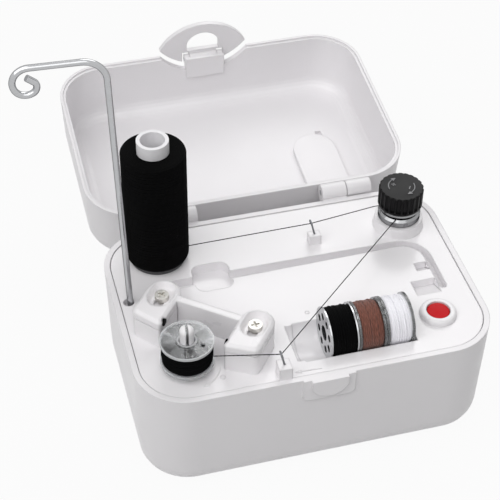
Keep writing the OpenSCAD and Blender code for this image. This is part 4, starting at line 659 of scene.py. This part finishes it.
class WINDER_PG_stage(bpy.types.PropertyGroup):
    """Camera, floor and light."""

    azimuth: angle_setting("Azimuth", "Camera's turn round the case", -15.567)
    elevation: angle_setting("Elevation", "Camera's height above the level", 42.485)
    roll: angle_setting("Roll", "Camera's turn about its own axis", 0.788)
    distance: size_setting("Distance", "Camera's distance from the point it looks at", 569.6)
    target: bpy.props.FloatVectorProperty(name="Target", description="Point that the camera looks at",
                                          default=(-0.00988, 0.02705, 0.0505), size=3, subtype="TRANSLATION")
    lens: bpy.props.FloatProperty(name="Lens", description="Focal length on a 36 mm sensor", default=99.755,
                                  min=1.0, unit="CAMERA")
    world: bpy.props.FloatProperty(name="Sky", description="Strength of the light from all round",
                                   default=0.3, min=0.0)
    key: bpy.props.FloatProperty(name="Key lamp", description="Power of the lamp above, at the left",
                                 default=5.5, min=0.0, unit="POWER")
    floor: colour_setting("Floor", "Matt floor that the case stands on", "#BDBDBD")


def sizes():
    """The size settings of the scene."""
    return bpy.context.scene.winder_sizes


def colour_of(key, shade=1.0):
    """A colour setting by its name, or an sRGB hex value, brought to a share of its light."""
    tones = bpy.context.scene.winder_colours
    return darker(linear(key) if key.startswith("#") else getattr(tones, key), shade)


def dress(material, names):
    """Give frame nodes, named in one line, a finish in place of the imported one."""
    for name in names.split():
        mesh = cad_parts[name].data
        mesh.materials.clear()
        mesh.materials.append(material)


def dress_plastics(rows):
    """Make the plastic of each row and give it to the row's nodes."""
    for name, colour, roughness, grain, depth, edge, cloud, shine, nodes in rows:
        dress(moulded_plastic(name, colour_of(colour), roughness, grain, depth, edge, cloud, shine), nodes)


def middle_of(node):
    """Middle of a frame node's box, in metres."""
    low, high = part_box(node)
    return (np.array(low) + np.array(high)) / 2


def foot_of(node):
    """Middle of the underside of a frame node's box, in metres."""
    low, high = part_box(node)
    return (low[0] + high[0]) / 2, (low[1] + high[1]) / 2, low[2]


def standing(right, up, back, place):
    """Matrix whose columns are three axes and a place."""
    rows = np.eye(4)
    rows[:3] = np.stack([right, up, back, place], -1)
    return Matrix(rows.tolist())


# Plastics of the frame's nodes: name, colour, roughness, then grain, its depth and the edge in millimetres,
# how far the pigment's clouds darken it, specular level, and nodes
CASE_PLASTICS = (
    # Satin ABS: a spark-eroded tool leaves a fine even grain, and the light spreads softly on it
    ("ABS_white_satin_moulded", "case", 0.34, 0.45, 0.004, 0.5, 0.96, 0.5,
     "base_case lid lid_clasp battery_door"),
    # Polished ABS: the deck's tool is smooth, so it mirrors the posts and the light
    ("ABS_white_polished_moulded", "deck", 0.2, 1.4, 0.004, 0.8, 0.96, 0.5, "deck spindle_hub spool_pin"),
    # The bracket's tool has well-rounded edges, so its light rolls over them with no hard line
    ("ABS_white_round_edged_moulded", "deck", 0.3, 0.6, 0.004, 1.3, 0.96, 0.5, "sensor_bracket"),
    # Matt ABS: a coarser tool, out of sight, leaves a dull pale face
    ("ABS_pale_matt_moulded", "#E2E1E0", 0.5, 0.5, 0.008, 0.3, 0.96, 0.5, "battery_tray"),
)
SMALL_PLASTICS = (
    # Black ABS with a spark-eroded grain: grey where it faces the light, black on its sides
    ("ABS_black_grained_moulded", "knob", 0.38, 0.5, 0.012, 0.25, 0.85, 0.14, "tension_knob"),
    # Polished red ABS: one clear highlight on the dome
    ("ABS_red_polished_moulded", "button", 0.13, 2.0, 0.004, 0.2, 0.9, 0.05, "start_button"),
    # Dark acrylic that lets infrared through: a black spot in the white wall
    ("acrylic_dark_polished", "#030303", 0.5, 2.0, 0.002, 0.1, 0.9, 0.03, "sensor_emitter sensor_receiver"),
    # Natural nylon: cream and waxy
    ("nylon_cream_moulded", "#E8E3D2", 0.45, 0.8, 0.006, 0.15, 0.96, 0.5, "spindle_gear motor_end_cap"),
    # Black nylon: dull, with soft highlights
    ("nylon_black_moulded", "#1C1C1E", 0.5, 0.6, 0.008, 0.15, 0.85, 0.5, "tact_switch"),
)

# Metals: name, colour and its shade, roughness, width of the marks in millimetres and their stretch, depth
# and edge in millimetres, rim colour, where a dark one is a painted dark reflection at the edges, and nodes
METALS = (
    # Drawn wire, nickel plated: bright, with hair lines along the wire, and a near-black rim colour that
    # paints dark reflections along its edges
    ("steel_drawn_nickel_plated", "nickel", 1.0, 0.16, 0.35, (1.0, 1.0, 0.08), 0.006, 0.2, "#0C0C0D",
     "guide_rod"),
    # Turned discs: rings of the lathe tool show as fine level lines; the nickel brought down to 0.6 and the
    # dark grey rim are painted shade and dark reflection
    ("steel_turned_chromed", "nickel", 0.6, 0.2, 0.9, (0.05, 0.05, 1.0), 0.04, 0.2, "#3C3D40",
     "lower_tension_disc upper_tension_disc tension_washer"),
    # Machine screws, nickel plated: pale faces with a soft gloss, and a dark rim colour that paints shade on
    # their sides and in the cross recess
    ("steel_cold_headed_nickel_plated", "#E4E2DD", 1.0, 0.46, 0.5, (1.0, 1.0, 1.0), 0.006, 0.2, "#55534F",
     "sensor_screws"),
    # Zinc plating: greyer, with a fine sparkle
    ("steel_zinc_plated", "steel", 1.0, 0.32, 0.5, (1.0, 1.0, 1.0), 0.006, 0.15, "#FFFFFF",
     "hinge_pins clasp_pin deck_screws battery_door_screw gear_plate gear_plate_screws motor_can motor_shaft "
     "spindle_shaft tension_stud tension_nut board_screws battery_contacts"),
    # Bare spring wire: darker and duller
    ("spring_steel_drawn", "#77797C", 1.0, 0.35, 0.3, (1.0, 1.0, 0.1), 0.005, 0.1, "#FFFFFF",
     "rear_thread_hook front_thread_hook"),
    # Turned brass: yellow, with fine rings round it
    ("brass_turned", "brass", 1.0, 0.28, 0.3, (0.2, 0.2, 1.0), 0.004, 0.1, "#FFFFFF",
     "motor_pinion upper_bush lower_bush"),
    # Stamped sheet: the rolling lines run across the flange
    ("steel_stamped_nickel_plated", "nickel", 1.0, 0.2, 0.4, (1.0, 0.12, 1.0), 0.005, 0.12, "#FFFFFF",
     "metal_bobbin"),
)

# Clear polystyrene: name, shade, where under 1 the colour is painted shade, turn of its axis from upright,
# haze, and nodes
CLEAR_BOBBINS = (
    # On the spindle: pale spokes, and a bright rim that is a painted highlight
    ("polystyrene_clear_moulded_upright", 1.0, 0.0, 0.45, "winding_bobbin"),
    # In the trough: the clear colour is brought down to 0.72 as painted shade, and the thread behind it shows
    # through
    ("polystyrene_clear_moulded_lying", 0.72, math.pi / 2, 0.16, "middle_bobbin end_bobbin"),
)


# Operators


class WINDER_OT_case(bpy.types.Operator):
    """Finish the base, lid, clasp, deck and the other white mouldings"""

    bl_idname = "winder.case"
    bl_label = "Case and deck"

    def execute(self, context):
        dress_plastics(CASE_PLASTICS)
        return {"FINISHED"}


class WINDER_OT_metals(bpy.types.Operator):
    """Finish the rod, hooks, discs, screws, pins, shafts and drive"""

    bl_idname = "winder.metals"
    bl_label = "Metal pieces"

    def execute(self, context):
        for name, colour, shade, roughness, mark, stretch, depth, edge, rim, nodes in METALS:
            tone = colour_of(colour, shade)
            dress(worked_metal(name, tone, roughness, mark, stretch, depth, edge, rim), nodes)
        return {"FINISHED"}


class WINDER_OT_fittings(bpy.types.Operator):
    """Finish the knob, button, lenses, bobbins, spool core, switch, board and cells"""

    bl_idname = "winder.fittings"
    bl_label = "Small mouldings"

    def execute(self, context):
        dress_plastics(SMALL_PLASTICS)
        # Natural polypropylene: waxy, with light inside it. Its foot is painted dark grey, a painted shade
        # and reflection of the black thread pack above it
        foot = linear("#3B3B3D"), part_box("spool_core")[0][2] + SPOOL_SHADED_FOOT * MM
        glow = {"Subsurface Weight": 0.25, "Subsurface Radius": (1.5 * MM, 1.5 * MM, 1.5 * MM)}
        core = moulded_plastic("polypropylene_natural_moulded", colour_of("core"), roughness=0.4, grain=0.8,
                               depth=0.006, edge=0.25, cloud=0.96, sockets=glow, foot=foot)
        dress(core, "spool_core")
        low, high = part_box("winding_bobbin")
        flange = (high[0] - low[0]) / 2
        for name, shade, turn, haze, nodes in CLEAR_BOBBINS:
            axis = tuple(middle_of(nodes.split()[0]))
            finish = clear_moulding(name, colour_of("clear", shade), axis, (0.0, turn, 0.0), flange, haze)
            dress(finish, nodes)
        cell = printed_jacket("film_printed_shrunk", linear("#3F6B43"), linear("#C9B27A"),
                              CELL_BAND_FROM * MM)
        dress(cell, "battery_cells")
        board = masked_board("fibreglass_solder_masked", linear("#1F5A38"), linear("#3E8058"))
        dress(board, "circuit_board")
        return {"FINISHED"}


def thread_finish(kind):
    """The finish of one colour of thread, made once."""
    name = f"polyester_{kind}_spun"
    if name in bpy.data.materials:
        return bpy.data.materials[name]
    crease_shade, fuzz, gloss = THREAD_LOOKS[kind]
    colour = colour_of(kind + "_thread")
    return spun_thread(name, colour, darker(colour, crease_shade), sizes().ply / MM, fuzz, gloss)


class WINDER_OT_spool_thread(bpy.types.Operator):
    """Wind the black thread on the spool"""

    bl_idname = "winder.spool_thread"
    bl_label = "Spool thread"

    def execute(self, context):
        strand = sizes().spool_strand
        axis = foot_of("spool_core")
        bottom, top = SPOOL_LOW * MM, SPOOL_HIGH * MM
        rounds = [size * MM for size in SPOOL_ROUNDS]
        outer = SPOOL_OUTER * MM
        pitch = strand * 0.96
        turns = (top - bottom) / pitch
        pack = winding(outer, bottom, top, turns, strand, steps=56, loose=0.16, rounds=rounds)
        # The body under the turns starts half a strand in, and stops just short of the pack's ends
        under = outer - strand * 0.55
        core = pack_core(SPOOL_BORE * MM, under, bottom + 0.02 * MM, top - 0.1 * MM, strand, rounds)
        make_piece("spool_thread_pack", [placed(core, axis), placed(pack, axis)], thread_finish("black"),
                   "spool", ["spool_thread"])
        return {"FINISHED"}


class WINDER_OT_bobbin_threads(bpy.types.Operator):
    """Wind the thread on the four bobbins"""

    bl_idname = "winder.bobbin_threads"
    bl_label = "Bobbin threads"

    def execute(self, context):
        strand = sizes().bobbin_strand
        for bobbin, body, kind, turn, flange in (
                ("winding_bobbin", "spindle", "black", TO_Z, 1.0),
                ("metal_bobbin", "first_bobbin", "black", TO_X, 0.6),
                ("middle_bobbin", "second_bobbin", "brown", TO_X, 1.0),
                ("end_bobbin", "third_bobbin", "white", TO_X, 1.0)):
            half = (BOBBIN_HALF_WIDTH - flange - FLANGE_GAP) * MM
            outer = BOBBIN_OUTER * MM
            pitch = strand * 0.97
            under = outer - strand * 0.6
            turns = 2 * half / pitch
            layers = [pack_core(BOBBIN_BORE * MM, under, -half, half, strand),
                      winding(outer, -half, half, turns, strand, steps=48, loose=0.22)]
            for lift, share, turns, loose in CROSSING_TURNS:
                layers.append(winding(outer + strand * lift, -half * share, half * share, turns, strand,
                                      steps=64, loose=loose))
            middle = middle_of(bobbin)
            shells = [placed(made, middle, turn) for made in layers]
            make_piece(bobbin + "_pack", shells, thread_finish(kind), body,
                       [bobbin + "_thread"])
        return {"FINISHED"}


class WINDER_OT_thread_run(bpy.types.Operator):
    """Run the thread from the spool through the guides to the bobbin"""

    bl_idname = "winder.thread_run"
    bl_label = "Running thread"

    def execute(self, context):
        line = even_line(np.array(THREAD_ROUTE) * MM, RUN_STEP)
        # A weighted mean of near points rounds the corners, and the ends stay
        window = np.hanning(9)[1:-1]
        window = window / window.sum()
        reach = len(window) // 2
        smooth = np.stack([np.convolve(line[:, k], window, mode="valid") for k in range(3)], -1)
        line = np.concatenate([line[:reach], smooth, line[-reach:]])
        along = np.arange(len(line)) * RUN_STEP
        # Two plies: the radius rises and falls twice round the section, which turns along the line
        angle = FULL_TURN * np.arange(RUN_SIDES) / RUN_SIDES
        lobes = 1 + 0.08 * np.cos(2 * (angle[None, :] - FULL_TURN * along[:, None] / sizes().ply / 2))
        radius = sizes().run_strand / 2 * lobes
        run = tube(line, radius, RUN_SIDES, (0.0, 0.0, 1.0))
        made = make_piece("thread_to_bobbin", [run], thread_finish("black"), "case",
                          ["thread_run"])
        return {"FINISHED"}


class WINDER_OT_wires(bpy.types.Operator):
    """Run the insulated wires inside the base"""

    bl_idname = "winder.wires"
    bl_label = "Wires"

    def execute(self, context):
        wire = sizes().wire
        for name, node, routes, hex_colour, slot_name in (
                ("motor_wire", "motor_leads", MOTOR_ROUTES, "#A82A24", "red_lead"),
                ("battery_wire", "battery_leads", BATTERY_ROUTES, "#232325", "black_lead"),
                ("sensor_wire", "sensor_leads", [SENSOR_ROUTE], "#D5D5D7", "white_lead")):
            # Soft PVC: an even colour with a slight bloom, faintly uneven over the strands inside
            finish = moulded_plastic("PVC_extruded_" + name, linear(hex_colour), roughness=0.45, grain=1.2,
                                     depth=0.01, edge=0.1, cloud=0.9)
            for number, route in enumerate(routes, 1):
                line = even_line(eased(np.array(route) * MM, times=3), WIRE_STEP)
                run = tube(line, wire / 2, WIRE_SIDES, (0.0, 1.0, 0.0))
                made = make_piece(f"{name}_{number}", [run], finish, "case",
                                  [node] if number == 1 else [])
                if line_length(line) < SHORT_JUMPER:
                    continue
        return {"FINISHED"}


class WINDER_OT_springs(bpy.types.Operator):
    """Coil the battery springs and the tension spring"""

    bl_idname = "winder.springs"
    bl_label = "Springs"

    def execute(self, context):
        # Plated spring wire: bright, with marks along its length
        finish = worked_metal("spring_wire_nickel_plated", colour_of("nickel"), roughness=0.26, mark=0.3,
                              stretch=(1.0, 1.0, 0.2), depth=0.004, edge=0.1, rim="#FFFFFF")
        wide, narrow = np.array(CELL_SPRING_RADII) * MM
        cell = spring(wide, narrow, CELL_SPRING_LENGTH * MM, CELL_SPRING_TURNS, CELL_SPRING_WIRE * MM)
        shells = [placed(cell, np.array(place) * MM, turn)
                  for place, turn in zip(CELL_SPRING_PLACES, (TO_Y, TO_MINUS_Y))]
        make_piece("battery_coils", shells, finish, "case", ["battery_springs"])
        place = foot_of("tension_spring")
        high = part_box("tension_spring")[1]
        radius = TENSION_SPRING_RADIUS * MM
        coiled = spring(radius, radius, high[2] - place[2], TENSION_SPRING_TURNS, TENSION_SPRING_WIRE * MM)
        made = make_piece("tension_coil", [placed(coiled, place)], finish, None, ["tension_spring"])
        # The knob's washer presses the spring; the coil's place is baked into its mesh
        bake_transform(made)
        return {"FINISHED"}


class WINDER_OT_marks(bpy.types.Operator):
    """Raise the arrows on the deck and on the tension knob"""

    bl_idname = "winder.marks"
    bl_label = "Moulded marks"

    def execute(self, context):
        low = (DECK_TOP - MARK_ROOT) * MM
        high = DECK_TOP * MM + sizes().mark_rise
        spindle = middle_of("spindle_hub")
        shells = [raised_arc(spindle, SPIN_ARROW_RADIUS * MM, row, low, high) for row in SPIN_ARROW]
        for centre, radius, row in DECK_RINGS:
            shells.append(raised_arc(np.array(centre) * MM, radius * MM, row, low, high))
        for start, end, widths in ROUTE_ARROW:
            line = np.linspace(start, end, ROUTE_POINTS) * MM
            shells.append(bar(line, np.linspace(*widths, ROUTE_POINTS) * MM, low, high))
        make_piece("deck_arrows", shells, bpy.data.materials["ABS_white_polished_moulded"], "case")
        knob = middle_of("tension_knob")
        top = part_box("tension_knob")[1][2]
        low, high = top - MARK_ROOT * MM, top + KNOB_MARK_RISE * MM
        shells = [raised_arc(knob, KNOB_ARROW_RADIUS * MM, row, low, high) for row in KNOB_ARROWS]
        # A plus and a minus, each set across the radius that it stands on
        for angle, crossed in ((148, True), (328, False)):
            way = np.array((math.cos(math.radians(angle)), math.sin(math.radians(angle))))
            middle = knob[:2] + KNOB_SIGN_RADIUS * MM * way
            across = np.array((-way[1], way[0]))
            for aim in ((across, way) if crossed else (across,)):
                reach = aim * SIGN_REACH * MM
                line = np.linspace(middle - reach, middle + reach, 4)
                shells.append(bar(line, SIGN_WIDTH * MM, low, high))
        # The raised marks are smoother, and painted grey as a painted highlight where they catch the light
        painted_lit_marks = moulded_plastic("ABS_black_rubbed", linear("#646467"), roughness=0.3, grain=0.8, depth=0.004,
                                 edge=0.1, cloud=0.8)
        make_piece("knob_arrows", shells, painted_lit_marks, "knob")
        return {"FINISHED"}


class WINDER_OT_stage(bpy.types.Operator):
    """Set the camera, the floor and the light"""

    bl_idname = "winder.stage"
    bl_label = "Stage"

    def execute(self, context):
        scene = context.scene
        stage = scene.winder_stage
        turn, lift, roll = stage.azimuth, stage.elevation, stage.roll
        back = np.array((math.sin(turn) * math.cos(lift), -math.cos(turn) * math.cos(lift), math.sin(lift)))
        level = np.array((math.cos(turn), math.sin(turn), 0.0))
        above = np.cross(back, level)
        right = level * math.cos(roll) + above * math.sin(roll)
        up = above * math.cos(roll) - level * math.sin(roll)
        place = np.array(stage.target) + back * stage.distance
        lens = bpy.data.cameras.new("camera")
        lens.lens = stage.lens
        lens.sensor_width = 36.0
        lens.shift_x, lens.shift_y = CAMERA_SHIFT
        lens.clip_start = 0.01
        camera = put("camera", lens)
        camera.matrix_world = standing(right, up, back, place)
        scene.camera = camera

        # A round floor: rings of points, closed by a middle disc
        radius = np.array(FLOOR_RINGS)
        ground = rings(radius, np.full_like(radius, -FLOOR_DROP), FLOOR_POINTS)
        mesh = bpy.data.meshes.new("floor")
        faces = grid_quads(len(radius), FLOOR_POINTS)[:, ::-1].tolist()
        faces.append(list(range(FLOOR_POINTS)))
        mesh.from_pydata(ground.tolist(), [], faces)
        mesh.update()
        mesh.materials.append(pale_floor("board_matt_painted", tuple(stage.floor)))
        floor = put("floor", mesh)

        for name, at, width, share in LAMPS:
            lamp = bpy.data.lights.new(name, "AREA")
            lamp.shape = "SQUARE"
            lamp.size = width
            lamp.energy = stage.key * share
            made = put(name, lamp)
            away = unit(np.array(at) - np.array(LAMP_AIM))
            beside = unit(np.cross((0.0, 1.0, 0.0), away))
            made.matrix_world = standing(beside, np.cross(away, beside), away, at)

        world = bpy.data.worlds.new("studio")
        world.use_nodes = True
        tree = world.node_tree
        tree.nodes.clear()
        strength = ranged(tree, seen_directly(tree), target=(stage.world, 1.0))
        sky = add_node(tree, "Background", {"Color": (1.0, 1.0, 1.0, 1.0), "Strength": strength})
        add_node(tree, "OutputWorld", {"Surface": sky})
        scene.world = world
        scene.view_settings.view_transform = "Standard"
        return {"FINISHED"}


class WINDER_PT_panel(bpy.types.Panel):
    """The winder's operators and settings"""

    bl_label = "Bobbin winder"
    bl_idname = "WINDER_PT_panel"
    bl_space_type = "VIEW_3D"
    bl_region_type = "UI"
    bl_category = "Winder"

    def draw(self, context):
        layout = self.layout
        for made in OPERATORS:
            layout.operator(made.bl_idname)
        for group in GROUPS:
            settings = getattr(context.scene, group)
            box = layout.box()
            for name in settings.bl_rna.properties.keys():
                if name not in ("rna_type", "name"):
                    box.prop(settings, name)


# In the order that they run: the camera and the cords come first
OPERATORS = (WINDER_OT_stage, WINDER_OT_thread_run, WINDER_OT_wires, WINDER_OT_case, WINDER_OT_metals,
             WINDER_OT_fittings, WINDER_OT_spool_thread, WINDER_OT_bobbin_threads, WINDER_OT_springs,
             WINDER_OT_marks)
GROUPS = {
    "winder_sizes": WINDER_PG_sizes,
    "winder_colours": WINDER_PG_colours,
    "winder_stage": WINDER_PG_stage,
}
CLASSES = (*GROUPS.values(), *OPERATORS, WINDER_PT_panel)


def register():
    """Register the groups, operators and panel, and hang the groups on the scene."""
    for made in CLASSES:
        bpy.utils.register_class(made)
    for name, group in GROUPS.items():
        setattr(bpy.types.Scene, name, bpy.props.PointerProperty(type=group))


def unregister():
    """Take the groups off the scene and unregister everything."""
    for name in GROUPS:
        delattr(bpy.types.Scene, name)
    for made in reversed(CLASSES):
        bpy.utils.unregister_class(made)


def main():
    """Register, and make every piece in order."""
    register()
    for made in OPERATORS:
        group, name = made.bl_idname.split(".")
        getattr(getattr(bpy.ops, group), name)()
    bpy.context.view_layer.update()


if __name__ == "__main__":
    main()
